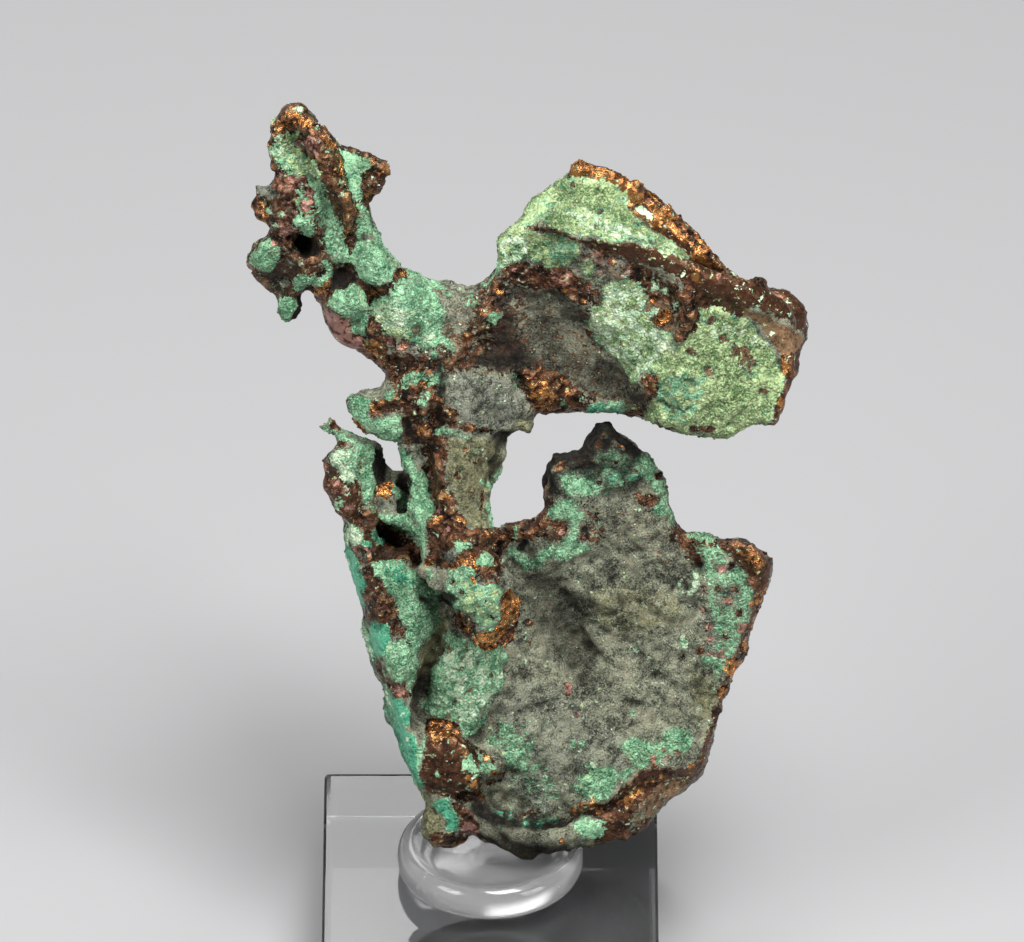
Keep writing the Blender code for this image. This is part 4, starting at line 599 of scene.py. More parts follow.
# Folds and pits pressed into the skin, or ridges raised on it: height in millimetres, width and
# points of the stroke.
RELIEF = (
    (.4, 5, "552,472 575,463 604,458"),
    (-.35, 5, "556,481 582,474"),
    (-.35, 6, "600,446 620,452"),
    (.3, 6, "546,490 552,476"),
    (-.5, 7, "438,360 441,390 436,412 439,432"),
    (-.7, 7, "298,242 306,250 314,252"),
    (-.6, 8, "338,280 350,278"),
    (-.6, 8, "418,700 424,680 428,668"),
    (-.5, 6, "416,728 414,712"),
    (-.5, 6, "425,604 432,610"),
    (-.5, 6, "448,598 456,602"),
    (.35, 4, "518,227 540,229 576,236 640,246"),
    (.4, 4, "571,168 600,175 630,190 650,205"),
    (.35, 5, "322,132 338,155 345,190 355,215"),
    (-.35, 5, "632,655 645,668 660,684"),
    (-.3, 6, "600,702 640,706"),
    (.4, 6, "590,598 620,592 650,600"),
    (-.28, 34, "552,590 572,640 590,676"),
    (.35, 5, "625,785 641,771 656,765 690,766 702,748"),
    (.3, 4, "578,806 600,801 618,792"),
    (.4, 5, "448,742 462,750 466,770"),
    (-.4, 5, "432,770 450,775"),
    (.3, 5, "660,376 690,372 706,388 698,410 680,421"),
    (-.4, 4, "662,400 674,411 690,408"),
    (-.4, 5, "520,548 524,546"),
    (-.4, 6, "600,498 634,490"),
    (-.35, 5, "686,590 672,589"),
    (-.5, 7, "500,808 512,812"),
    (.4, 5, "692,571 697,580 691,594"),
)

# Each mineral's look: dark and light screen colours, roughness, metalness, edge fraying and the
# noise that frays it. They cover each other in this order. Brown lies under all the metals, and
# mint under all the crusts. The patina under them has two colours and a roughness, and the
# shadows over them two colours.
LOOKS = {
    "olive": ((52, 54, 38), (146, 144, 108), .7, 0, .9, "fray"),
    "ash": ((40, 42, 36), (140, 144, 128), .6, 0, 1.0, "medium"),
    "taupe": ((62, 44, 30), (146, 114, 84), .42, .3, .8, "coarse fray"),
    "brown": ((22, 13, 9), (116, 76, 52), .26, .6, 1.0, "fray"),
    "cuprite": ((80, 40, 34), (196, 148, 134), .34, .2, 1.1, "coarse fray"),
    "gold": ((72, 40, 20), (228, 160, 94), .2, .85, 1.0, "medium"),
    "mint": ((64, 114, 82), (164, 214, 170), .6, 0, 1.1, "fray"),
    "teal": ((24, 84, 62), (92, 180, 142), .4, 0, .8, "coarse fray"),
    "lime": ((74, 102, 58), (184, 207, 150), .6, 0, 1.1, "medium"),
    "chalk": ((136, 174, 136), (222, 240, 206), .55, 0, 1.2, "coarse fray"),
}
PATINA = ((30, 33, 26), (156, 159, 135), .64)
SHADOWED = ((3, 3, 2), (44, 34, 24))

# Screen colours laid over the minerals in places.
EARTH = (112, 98, 78)
# Partly a seam and partly painted shade, round the proud edge of the green crust.
SEAM_AND_SHADE = (36, 26, 18)
CRACK = (70, 56, 38)
# Painted shade for the hollows of the rock and of the crust.
ROCK_HOLLOW_SHADE = (22, 19, 15)
CRUST_HOLLOW_SHADE = (38, 84, 62)
WORN_COPPER = (214, 160, 112)

# The finish's noises: width of their lumps in millimetres, detail and roughness. All but the
# broad one are read at a place bent by a warp, and the streaks at one that is also turned and
# stretched.
NOISES = {
    "fine": (.17, 2.0),
    "medium": (.6, 3.0),
    "swell": (1.25, 2.0),
    "fray": (.5, 3.0, .7),
    "coarse fray": (.95, 3.0, .7),
}
BROAD = (2.6, 2.0)
STREAK = (1.1, 3.0, .6)
POWDER = (.22, 4.0, .65)
WARP_SCALE = 1.4
STREAK_TURN = (math.radians(-35), math.radians(52), 0)
STREAK_STRETCH = (.35, 1.0, 1.6)

# What a tone is made of: the shares of its noises, how far others swing it about their middle,
# and the range of the sum that runs from a mineral's dark colour to its light one.
CRISP_TONE = ({"fine": .55, "medium": .45}, {"broad": .35, "streak": .3}, (.36, .64))
SOFT_TONE = ({"fine": .5, "medium": .3, "streak": .3}, {"broad": .4}, (.39, .71))
LUSTRE = ({"swell": .55, "medium": .3, "fine": .15}, {}, (.38, .66))
WORN_LUSTRE = .34

# How strongly noise frays a mineral's edge, and the cover at which it starts and is whole.
FRAY_STRENGTH = 2.6
COVER_EDGE = (.42, .56)

# Where each of these starts and is whole, on the noise or the measure that it follows.
EARTH_PATCHES = (.52, .75)
CRACK_WIDTH, CRACK_PATCHES, HOLES = (.02, .13), (.47, .56), (.78, .86)
SUNK, PROUD = (.1, 1.3), (.25, 1.5)
SHADOW_EDGE, SHADOW_TONE = (.25, .75), (.62, .9)

SEAM_AND_SHADE_STRENGTH, CRACK_STRENGTH, SHADOW_STRENGTH = 2.2, .6, .97
SHADOW_ROUGHNESS = .95
SPECULAR = .28

# Sizes in millimetres of the crust's cracks, grains and lumps, and how deep the bump is in metres.
CRACK_SPACING, GRAIN_SIZE, LUMP_SIZE = 1.3, .34, .8
BUMP_STRENGTH, BUMP_DEPTH = .9, .42 * MM

# The two acrylics: what they share, with the fine scuffs in their polish, and then each one's
# tint on a screen, least and greatest haze, and clarity.
ACRYLIC_COLOUR = (.98, .98, .98, 1)
ACRYLIC_IOR = 1.49
SCUFF_STRETCH, SCUFF_NOISE, SCUFF_RANGE = (.12, 2.0, 1.0), (1.5, 4.0, .7), (.5, .8)
SCUFF_STRENGTH, SCUFF_DEPTH = .2, .004 * MM
SEAT_TINT, SEAT_POLISH = (248, 249, 252), (.14, .32)
BLOCK_TINT, BLOCK_POLISH, BLOCK_CLARITY = (120, 122, 126), (.01, .08), 1.0

# What the scatter trees take besides a skin and a finish, and how far a crystal tilts and turns.
SCATTER_INPUTS = (
    ("Cover", "NodeSocketString", "crust"),
    ("Density", "NodeSocketFloat", 1.0),
    ("Least size", "NodeSocketFloat", .2),
    ("Greatest size", "NodeSocketFloat", .4),
    ("Flatness", "NodeSocketFloat", .7),
    ("Seed", "NodeSocketInt", 1),
)
TILT, FULL_TURN = .7, 6.28

# The stage: the floor's sizes and unevenness, the camera's film, and the lights with their
# places, widths, the setting that gives their power, their share of it, and whether they are
# seen through acrylic.
FLOOR_RADIUS, FLOOR_SIDES = 6, 96
FLOOR_GAP = .05 * MM
FLOOR_DIMMING, FLOOR_NOISE, FLOOR_ROUGHNESS = .97, (6.0, 3.0), .8
FILM_WIDTH = 36
NEAREST_SEEN, FURTHEST_SEEN = .05, 30
LIGHTS = (
    ("key_light", (.1, -.16, .52), .2, "key_power", 1, True),
    ("left_light", (-.42, -.3, .42), .3, "fill_power", 1, False),
    ("right_light", (.5, -.35, .35), .3, "fill_power", .55, True),
    ("back_light", (-.1, .35, .4), .25, "fill_power", .4, True),
)

# The seat's turned outline: radius and height in millimetres, from its foot up and into its dish.
SEAT_OUTLINE = ((0, 0), (8.2, 0), (8.8, .12), (9.2, .5), (9.4, 1.1), (9.4, 1.9), (9.25, 2.6),
                (8.9, 3.15), (8.4, 3.5), (8.0, 3.6), (7.6, 3.5), (7.2, 3.2), (6.8, 2.8),
                (6.2, 2.5), (5.2, 2.4), (0, 2.4))


def points_of(pairs):
    """The sheet points written as pairs of numbers with a comma between them."""
    return np.array([[float(number) for number in pair.split(",")] for pair in pairs])


def zones_in(table):
    """The zones written in a table, with their numbers read and their points in an array."""
    rows, marks = [], None
    for word in table.split():
        if word in ZONE_KINDS:
            rows.append([])
        rows[-1].append(word)
    for kind, mineral, strength, size, *pairs in rows:
        marks = points_of(pairs) if pairs else marks
        yield kind, mineral, float(strength), float(size), marks


def shade(red, green, blue):
    """A colour given as 0 to 255 on a screen, as Blender's linear values with full alpha."""
    parts = []
    for level in (red, green, blue):
        level /= 255
        parts.append(level / 12.92 if level <= .04045 else ((level + .055) / 1.055) ** 2.4)
    return (*parts, 1)


def ramped(values, low, high):
    """0 up to low, 1 from high, and smooth between them."""
    t = np.clip((values - low) / (high - low), 0, 1)
    return t * t * (3 - 2 * t)


def sheet_places(points):
    """Where points in metres fall on the front view's sheet."""
    away = points - np.array(CAMERA_PLACE)
    scale = VIEW_DISTANCE / -(away @ np.array(TOWARDS)) / SHEET_UNIT
    across = SHEET_CENTRE[0] + away @ np.array(ACROSS) * scale
    down = SHEET_CENTRE[1] - away @ np.array(UP) * scale
    return np.stack((across, down), 1)


def distance_to_edge(places, start, end):
    """How far each place lies from a straight edge."""
    along = end - start
    t = np.clip((places - start) @ along / max(along @ along, 1e-9), 0, 1)
    return np.hypot(*(places - start - t[:, None] * along).T)


def depth_inside(places, outline):
    """How far each place lies inside a closed outline, negative outside it."""
    nearest = np.full(len(places), np.inf)
    inside = np.zeros(len(places), bool)
    for start, end in zip(outline, np.roll(outline, -1, 0)):
        nearest = np.minimum(nearest, distance_to_edge(places, start, end))
        if start[1] != end[1]:
            along = end - start
            level = (start[1] > places[:, 1]) != (end[1] > places[:, 1])
            cross = start[0] + (places[:, 1] - start[1]) * along[0] / along[1]
            inside ^= level & (places[:, 0] < cross)
    return np.where(inside, nearest, -nearest)


def distance_to_line(places, line):
    """How far each place lies from a stroke's middle line."""
    return np.min([distance_to_edge(places, start, end)
                   for start, end in zip(line[:-1], line[1:])], 0)


def cover_of(kind, size, marks, places):
    """How far a zone covers each place, from 0 to 1."""
    margin = size * 2 + 2
    low, high = marks.min(0) - margin, marks.max(0) + margin
    near = np.flatnonzero(((places > low) & (places < high)).all(1))
    cover = np.zeros(len(places))
    if not len(near):
        return cover
    some = places[near]
    if kind == "patch":
        cover[near] = ramped(depth_inside(some, marks), -size, size)
    elif kind == "line":
        core, rim = (size * share for share in LINE_EDGE)
        cover[near] = 1 - ramped(distance_to_line(some, marks), core, rim)
    else:
        core, rim = (size * share for share in SPOT_EDGE)
        for mark in marks:
            gap = np.hypot(*(some - mark).T)
            cover[near] = np.maximum(cover[near], 1 - ramped(gap, core, rim))
    return cover


def field(points, size, seed=0.0):
    """Soft noise about 0, whose lumps are about size across, at points in millimetres."""
    shift = Vector([seed * step for step in SEED_STEPS])
    return np.array([noise.noise(Vector(p) + shift) for p in points / size])


def facet_field(points, size):
    """Small tilted planes about size across, as heights about 0."""
    heights = []
    for p in points / size:
        place = Vector(p)
        centre = noise.voronoi(place)[1][0]
        tilt = noise.cell_vector(centre * CELL_SPREAD) * 2 - Vector((1, 1, 1))
        heights.append((place - centre).dot(tilt))
    return np.array(heights)


def granule_field(points, size):
    """Round granules about size across, from 0 in their gaps to 1 on top."""
    reach = [noise.voronoi(Vector(p))[0][0] for p in points / size]
    return 1 - np.clip(np.array(reach) * GRANULE_STEEPNESS, 0, 1)


def smoothed(values, edges, passes, share=.5):
    """Values of a mesh's points, each drawn towards its neighbours' mean."""
    ends = np.concatenate((edges[:, 0], edges[:, 1]))
    others = np.concatenate((edges[:, 1], edges[:, 0]))
    count = np.maximum(np.bincount(ends, minlength=len(values)), 1)
    values = values.reshape(len(values), -1).astype(float)
    for _ in range(passes):
        mean = np.stack([np.bincount(ends, column[others], len(values)) / count
                         for column in values.T], 1)
        values = values + (mean - values) * share
    return values


def points_and_edges(mesh):
    """A mesh's points and edges as arrays."""
    points = np.empty(len(mesh.vertices) * 3)
    mesh.vertices.foreach_get("co", points)
    edges = np.empty(len(mesh.edges) * 2, int)
    mesh.edges.foreach_get("vertices", edges)
    return points.reshape(-1, 3), edges.reshape(-1, 2)


def set_points(mesh, points):
    """Moves a mesh's points."""
    mesh.vertices.foreach_set("co", points.astype(np.float32).ravel())
    mesh.update()


def normals_of(mesh):
    """The outward direction at each point of a mesh."""
    normals = np.empty(len(mesh.vertices) * 3)
    mesh.vertex_normals.foreach_get("vector", normals)
    return normals.reshape(-1, 3)


def placed(name, data):
    """A new object in the scene, holding a mesh, a light or a camera."""
    piece = bpy.data.objects.new(name, data)
    bpy.context.scene.collection.objects.link(piece)
    return piece


def mesh_of(shape, name):
    """A shape made ready in bmesh, as a mesh."""
    mesh = bpy.data.meshes.new(name)
    shape.to_mesh(mesh)
    shape.free()
    return mesh


def evaluated_copy(piece, name):
    """A plain mesh of a piece as its modifiers leave it."""
    graph = bpy.context.evaluated_depsgraph_get()
    mesh = bpy.data.meshes.new_from_object(piece.evaluated_get(graph), depsgraph=graph)
    mesh.name = name
    return mesh


def remove_piece(piece):
    """Takes a helper object and its mesh out of the file."""
    mesh = piece.data
    bpy.data.objects.remove(piece)
    bpy.data.meshes.remove(mesh)


def shade_smooth(mesh, smooth=True):
    """Sets every face of a mesh to smooth or flat shading."""
    mesh.polygons.foreach_set("use_smooth", np.full(len(mesh.polygons), smooth))
    mesh.update()


def merged_cad_copy(node):
    """A CAD node's solid as one closed mesh in millimetres."""
    shape = bmesh.new()
    shape.from_mesh(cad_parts[node].data)
    bmesh.ops.remove_doubles(shape, verts=shape.verts, dist=1e-7)
    bmesh.ops.scale(shape, vec=(1 / MM,) * 3, verts=shape.verts)
    return mesh_of(shape, node + "_merged")


def finely_remeshed(mesh, voxel, passes):
    """The mesh grown again in even faces of one voxel, with its steps smoothed away."""
    helper = placed("helper", mesh)
    fine = helper.modifiers.new("fine", "REMESH")
    fine.mode = "VOXEL"
    fine.voxel_size = voxel
    grown = evaluated_copy(helper, "grown")
    remove_piece(helper)
    set_points(grown, smoothed(*points_and_edges(grown), passes))
    return grown


def seen_from_front(mesh):
    """Whether each point of a mesh in millimetres can be seen from the front camera."""
    corners = [v.co.copy() for v in mesh.vertices]
    tree = BVHTree.FromPolygons(corners, [f.vertices for f in mesh.polygons])
    eye = CAMERA_PLACE / MM
    seen = []
    for corner, normal in zip(corners, normals_of(mesh)):
        normal = Vector(normal)
        towards = (eye - corner).normalized()
        start = corner + normal * CLEAR_OFF + towards * CLEAR_AHEAD
        facing = normal.dot(towards) > LEAST_FACING
        seen.append(facing and tree.ray_cast(start, towards)[0] is None)
    return np.array(seen)


def layer(cover, name):
    """The column of one mineral's cover."""
    return cover[:, MINERALS_AND_SHADE.index(name)]


def lay(covers, mineral, cover):
    """Lays one mineral, or the painted shade, which thins the shade and the minerals that would
    hide it.
    """
    order = list(LOOKS)
    thinned = ["dark"] if mineral == "dark" else order[order.index(mineral):] + ["dark"]
    for name in thinned:
        covers[:, MINERALS_AND_SHADE.index(name)] *= 1 - cover
    covers[:, MINERALS_AND_SHADE.index(mineral)] += cover


def frayed_places(points, places):
    """Sheet places nudged by noise, so that what is drawn there has ragged edges."""
    nudges = [field(points, FRAY_SIZE, seed) for seed in FRAY_SEEDS]
    return places + FRAY_REACH * np.stack(nudges, 1)


def laid_minerals_and_shade(mesh, seen, places):
    """How far each mineral and the painted shade cover each point: laid by zones in front, grown by
    noise behind.
    """
    points, edges = points_and_edges(mesh)
    cover = zoned_minerals_and_shade(points, places)
    edge_filled(points, cover, seen)
    grown = grown_minerals_and_shade(mesh, points)
    owners = np.flatnonzero(seen)
    tree = tree_of(points, owners)
    for hidden in np.flatnonzero(~seen):
        _, slot, gap = tree.find(points[hidden])
        share = min(max((gap - HIDDEN_START) / HIDDEN_BAND, 0), 1)
        cover[hidden] = cover[owners[slot]] * (1 - share) + grown[hidden] * share
    return smoothed(cover, edges, 1)


def zoned_minerals_and_shade(points, places):
    """The minerals and the painted shade as the zones lay them, and where the smooth places are."""
    frayed = frayed_places(points, places)
    cover = np.zeros((len(points), len(MINERALS_AND_SHADE)))
    for table in ZONES.values():
        for kind, mineral, strength, size, marks in zones_in(table):
            lay(cover, mineral, cover_of(kind, size, marks, frayed) * strength)
    for strength, outline in SMOOTH:
        worn = cover_of("patch", SMOOTH_EDGE, points_of(outline.split()), places) * strength
        cover[:, -1] = np.maximum(cover[:, -1], worn)
    return cover


def grown_minerals_and_shade(mesh, points):
    """The minerals and the painted shade as noise and the hollows of the skin grow them, for what
    isn't seen.
    """
    hollow = hollowness(mesh, *WIDE_HOLLOW)
    wide, middle, small = (field(points, size, seed) for size, seed in GROWN_NOISES)
    greens = ramped(wide * .6 + middle * .5 + small * .2, .02, .2)
    limes = ramped(field(points, 9, 6) + middle * .3, .08, .3)
    metal = ramped(-hollow + middle * .8 + small * .3, .3, .8)
    reds = ramped(field(points, 5, 7) + small * .3, .15, .4)
    cover = np.zeros((len(points), len(MINERALS_AND_SHADE)))
    for mineral, share in (
            ("brown", .35 * ramped(middle, 0, .2)),
            ("olive", .4 * reds),
            ("mint", .9 * greens * (1 - limes)),
            ("lime", .9 * greens * limes),
            ("chalk", .4 * greens * ramped(small, .05, .3)),
            ("brown", .9 * metal),
            ("gold", .7 * metal * ramped(small, .1, .3)),
            ("cuprite", .6 * reds * metal),
            ("teal", .5 * greens * ramped(hollow, .1, .8)),
            # Painted shade in the deepest hollows.
            ("dark", .7 * ramped(hollow, .5, 1.3)),
    ):
        lay(cover, mineral, share)
    return cover


def tree_of(points, owners):
    """A search tree over some of the points, by their place in the list of owners."""
    tree = KDTree(len(owners))
    for slot, owner in enumerate(owners):
        tree.insert(points[owner], slot)
    tree.balance()
    return tree


def edge_filled(points, cover, seen):
    """Carries the zones out to the very edge of what the front view sees."""
    hidden = tree_of(points, np.flatnonzero(~seen))
    near = np.array([seen[i] and hidden.find(p)[2] < RIM_WIDTH for i, p in enumerate(points)])
    inner = np.flatnonzero(seen & ~near)
    tree = tree_of(points, inner)
    for rim in np.flatnonzero(near & (cover[:, :-1].sum(1) < BARE_BELOW)):
        _, slot, gap = tree.find(points[rim])
        if gap < RIM_REACH:
            cover[rim] = cover[inner[slot]]


def hollowness(mesh, passes, scale):
    """How far each point lies in a hollow, or below 0 on a ridge, against its surroundings."""
    points, edges = points_and_edges(mesh)
    sunk = ((smoothed(points, edges, passes) - points) * normals_of(mesh)).sum(1)
    return sunk / scale


def pressed_relief(mesh, seen, places):
    """Presses the folds and raises the ridges that the relief strokes mark."""
    points, edges = points_and_edges(mesh)
    frayed = frayed_places(points, places)
    shift = np.zeros(len(points))
    for height, width, stroke in RELIEF:
        gap = distance_to_line(frayed, points_of(stroke.split()))
        shift += height * (1 - ramped(gap, 0, width)) * seen
    shift = smoothed(shift, edges, 3)[:, 0]
    set_points(mesh, points + shift[:, None] * normals_of(mesh))


def covered_by(cover, names):
    """How far some minerals cover each point between them."""
    return np.clip(sum(layer(cover, name) for name in names), 0, 1)


def roughened(mesh, cover):
    """Gives each mineral its own relief: granules, facets, pits or a worn face.

    Each layer is a depth in millimetres times a field, whose width in millimetres and seed follow.
    """
    points, _ = points_and_edges(mesh)
    bare = 1 - .8 * layer(cover, "smooth")
    greens = covered_by(cover, CRUSTS)
    metal = covered_by(cover, METALS) * (1 - greens)
    rock = 1 - greens - metal
    lumps = .3 * field(points, 2.4, 11) + .2 * field(points, 1.1, 12)
    crust = .1 + .24 * granule_field(points, .85) + .16 * field(points, .7, 13)
    crystals = .3 * facet_field(points, 1.9) + .16 * facet_field(points, 1.0)
    pits = -.18 * ramped(field(points, 1.4, 14), .08, .4) + .25 * field(points, .75, 15)
    along = points @ np.array(ALONG_GROOVES) / GROOVE_STRETCH
    beside = points @ np.array(BESIDE_GROOVES)
    drawn = np.stack((along, beside, points @ np.array(TOWARDS)), 1)
    pits += .34 * field(drawn, 1.3, 16)
    shift = bare * (lumps + greens * crust + metal * crystals + rock * pits)
    shift -= .25 * layer(cover, "dark") * bare
    set_points(mesh, points + shift[:, None] * normals_of(mesh))


def store(mesh, name, kind, slot, values):
    """Keeps values on a mesh's points as an attribute."""
    attribute = mesh.attributes.new(name, kind, "POINT")
    attribute.data.foreach_set(slot, values.astype(np.float32).ravel())


def store_cover(mesh, cover):
    """Keeps the minerals and the painted shade as colour attributes, three to each, and what else
    the finish needs.
    """
    for number, name in enumerate(MINERAL_LAYERS):
        values = np.ones((len(cover), 4))
        values[:, :3] = cover[:, number * 3:number * 3 + 3]
        store(mesh, name, "FLOAT_COLOR", "color", values)
    greens = np.clip(sum(layer(cover, name) for name in ("mint", "lime", "chalk")) +
                     .5 * layer(cover, "teal"), 0, 1)
    sparkle = (.8 * layer(cover, "gold") + .05 * layer(cover, "brown")) * (1 - greens)
    bare = 1 - layer(cover, "smooth")
    store(mesh, "hollow", "FLOAT", "value", hollowness(mesh, *FINE_HOLLOW))
    for name, values in (("crust", greens), ("sparkle", sparkle)):
        store(mesh, name, "FLOAT", "value", np.clip(values * bare, 0, 1) ** 1.5)


class Graph:
    """A node tree being built, with short ways to add and join its nodes."""

    def __init__(self, tree):
        self.tree = tree

    def add(self, kind, *inputs, **settings):
        """Adds a node. Each input is a value or another node's output, and None leaves it."""
        node = self.tree.nodes.new(kind)
        for name, value in settings.items():
            setattr(node, name, value)
        for slot, value in enumerate(inputs):
            self.give(node.inputs[slot], value)
        return node

    def give(self, socket, value):
        """Joins an output to a socket, or sets the socket's own value."""
        if isinstance(value, bpy.types.NodeSocket):
            self.tree.links.new(value, socket)
        elif value is not None:
            socket.default_value = value

    def fill(self, node, **inputs):
        """Gives a node's inputs by name, with an underscore for each space."""
        for name, value in inputs.items():
            self.give(node.inputs[name.replace("_", " ")], value)
        return node

    def maths(self, operation, first, second=None, clamp=False):
        """The result of one sum on numbers."""
        node = self.add("ShaderNodeMath", first, second, operation=operation)
        node.use_clamp = clamp
        return node.outputs[0]

    def plus(self, first, *others):
        """Numbers added up from left to right."""
        for other in others:
            first = self.maths("ADD", first, other)
        return first

    def times(self, first, *others):
        """Numbers multiplied from left to right."""
        for other in others:
            first = self.maths("MULTIPLY", first, other)
        return first

    def rest(self, share):
        """What a share leaves of 1."""
        return self.maths("SUBTRACT", 1.0, share)

    def swing(self, noise, reach):
        """A noise's swing about its middle, made reach times as wide."""
        return self.times(self.maths("SUBTRACT", noise, .5), reach)

    def vector(self, operation, first, second):
        """The result of one sum on vectors."""
        return self.add("ShaderNodeVectorMath", first, second, operation=operation).outputs[0]

    def ramp(self, value, low, high, bottom=0.0, top=1.0):
        """A number spread smoothly from one range to another."""
        node = self.add("ShaderNodeMapRange", value, low, high, bottom, top,
                        interpolation_type="SMOOTHSTEP")
        return node.outputs[0]

    def blend(self, share, first, second):
        """Two colours mixed by a share."""
        node = self.add("ShaderNodeMix", data_type="RGBA")
        for slot, value in ((0, share), (6, first), (7, second)):
            self.give(node.inputs[slot], value)
        return node.outputs[2]

    def level(self, share, first, second):
        """Two numbers mixed by a share."""
        return self.add("ShaderNodeMix", share, None, first, second, data_type="FLOAT").outputs[0]

    def mapped(self, vector, turn=None, scale=None):
        """A vector turned and stretched."""
        return self.add("ShaderNodeMapping", vector, None, turn, scale).outputs[0]

    def grain(self, vector, size, detail=2.0, roughness=.55):
        """Noise whose lumps are about size millimetres across."""
        node = self.add("ShaderNodeTexNoise", vector, None, 1 / size, detail, roughness)
        return node.outputs[0]

    def cells(self, vector, size, feature="F1"):
        """Distance from the middle, or from the edge, of cells about size millimetres across."""
        node = self.add("ShaderNodeTexVoronoi", vector, None, 1 / size, feature=feature)
        return node.outputs["Distance"]

    def bump(self, height, strength, distance):
        """A bump from a height, its distance in metres."""
        node = self.fill(self.add("ShaderNodeBump"), Strength=strength, Distance=distance,
                         Height=height)
        return node.outputs[0]


def blank_material(name):
    """A new material with only its output node, and the graph that builds it."""
    material = bpy.data.materials.new(name)
    material.use_nodes = True
    nodes = material.node_tree.nodes
    for node in list(nodes):
        if node.type != "OUTPUT_MATERIAL":
            nodes.remove(node)
    return material, Graph(material.node_tree), nodes[0]


def millimetres(graph):
    """Object coordinates with one unit to the millimetre."""
    place = graph.add("ShaderNodeTexCoord").outputs["Object"]
    return graph.mapped(place, scale=(1 / MM,) * 3)


def copper_noises(graph):
    """The finish's bent place, and its noises by name."""
    place = millimetres(graph)
    warp = graph.add("ShaderNodeTexNoise", place, None, WARP_SCALE, 1.0).outputs["Color"]
    half = (.5, .5, .5)
    shifted = graph.vector("MULTIPLY", graph.vector("SUBTRACT", warp, half), half)
    bent = graph.vector("ADD", place, shifted)
    noises = {name: graph.grain(bent, *sizes) for name, sizes in NOISES.items()}
    noises["broad"] = graph.grain(place, *BROAD)
    streaked = graph.mapped(graph.mapped(bent, turn=STREAK_TURN), scale=STREAK_STRETCH)
    noises["streak"] = graph.grain(streaked, *STREAK)
    return bent, noises


def stored_covers(graph):
    """Each mineral's cover, and the painted shade's, as the skin keeps them, with the base of its
    kind laid under it.
    """
    covers = {}
    for number, name in enumerate(MINERAL_LAYERS):
        found = graph.add("ShaderNodeAttribute", attribute_name=name)
        split = graph.add("ShaderNodeSeparateColor", found.outputs["Color"])
        for channel in range(3):
            covers[MINERALS_AND_SHADE[number * 3 + channel]] = split.outputs[channel]
    for base, others in (("mint", CRUSTS), ("brown", METALS)):
        covers[base] = graph.plus(covers[base], *(covers[x] for x in others if x != base))
    return covers


def mixed_tone(graph, noises, recipe, *others):
    """How light each point is, from a recipe's noises and what else is added to them."""
    shares, swings, (low, high) = recipe
    parts = [graph.times(noises[name], share) for name, share in shares.items()]
    parts += [graph.swing(noises[name], reach) for name, reach in swings.items()]
    return graph.ramp(graph.plus(*parts, *others), low, high)


def layered_minerals(graph, noises, covers):
    """The minerals over the patina: colour, roughness, metalness, greenness, copper and lustre."""
    smooth = covers["smooth"]
    crisp = mixed_tone(graph, noises, CRISP_TONE, graph.times(smooth, .05))
    soft = mixed_tone(graph, noises, SOFT_TONE)
    lustre = mixed_tone(graph, noises, LUSTRE)
    lustre = graph.level(graph.times(smooth, .7), lustre, WORN_LUSTRE)
    dark, light, rough = PATINA
    colour = graph.blend(soft, shade(*dark), shade(*light))
    earth = graph.ramp(noises["broad"], *EARTH_PATCHES, 0.0, .4)
    colour = graph.blend(earth, colour, shade(*EARTH))
    metal, green, coppery = 0.0, 0.0, 0.0
    for mineral, (dark, light, roughness, metalness, fray, noise_name) in LOOKS.items():
        edge = graph.swing(noises[noise_name], fray * FRAY_STRENGTH)
        share = graph.ramp(graph.plus(covers[mineral], edge), *COVER_EDGE)
        tone = lustre if mineral in METALS else crisp
        colour = graph.blend(share, colour, graph.blend(tone, shade(*dark), shade(*light)))
        rough = graph.level(share, rough, roughness)
        metal = graph.level(share, metal, metalness)
        green = graph.level(share, green, float(mineral in CRUSTS))
        coppery = graph.level(share, coppery, float(mineral in METALS))
    return colour, rough, metal, green, coppery, lustre


def cracked(graph, bent, noises, covers, colour, green):
    """Dark lines round the green crust, partly seams and partly painted shade under its proud edge,
    and cracks and small holes in it.
    """
    # Partly seam, partly painted shade where the crust's edge lies.
    seam_and_shade = graph.times(green, graph.rest(green))
    seam_and_shade = graph.maths("MULTIPLY", seam_and_shade, SEAM_AND_SHADE_STRENGTH, clamp=True)
    colour = graph.blend(seam_and_shade, colour, shade(*SEAM_AND_SHADE))
    crack = graph.cells(bent, CRACK_SPACING, "DISTANCE_TO_EDGE")
    crack = graph.times(graph.ramp(crack, *CRACK_WIDTH, 1.0, 0.0),
                        graph.ramp(noises["medium"], *CRACK_PATCHES))
    hole = graph.ramp(graph.plus(noises["fray"], graph.times(noises["fine"], .35)), *HOLES)
    crack = graph.times(graph.maths("MAXIMUM", crack, hole),
                        graph.times(green, graph.rest(covers["smooth"])))
    return graph.blend(graph.times(crack, CRACK_STRENGTH), colour, shade(*CRACK))


def hollowed(graph, colour, green, coppery, lustre):
    """Painted shade darkening the hollows, and pale worn copper on the ridges."""
    hollow = graph.add("ShaderNodeAttribute", attribute_name="hollow").outputs["Fac"]
    sunk = graph.ramp(hollow, *SUNK)
    proud = graph.ramp(graph.times(hollow, -1), *PROUD)
    # Painted shade: the hollows darkened half way towards these colours.
    hollow_shade = graph.blend(green, shade(*ROCK_HOLLOW_SHADE), shade(*CRUST_HOLLOW_SHADE))
    colour = graph.blend(graph.times(sunk, .5), colour, hollow_shade)
    worn = graph.times(proud, coppery, lustre)
    return graph.blend(graph.times(worn, .5), colour, shade(*WORN_COPPER))


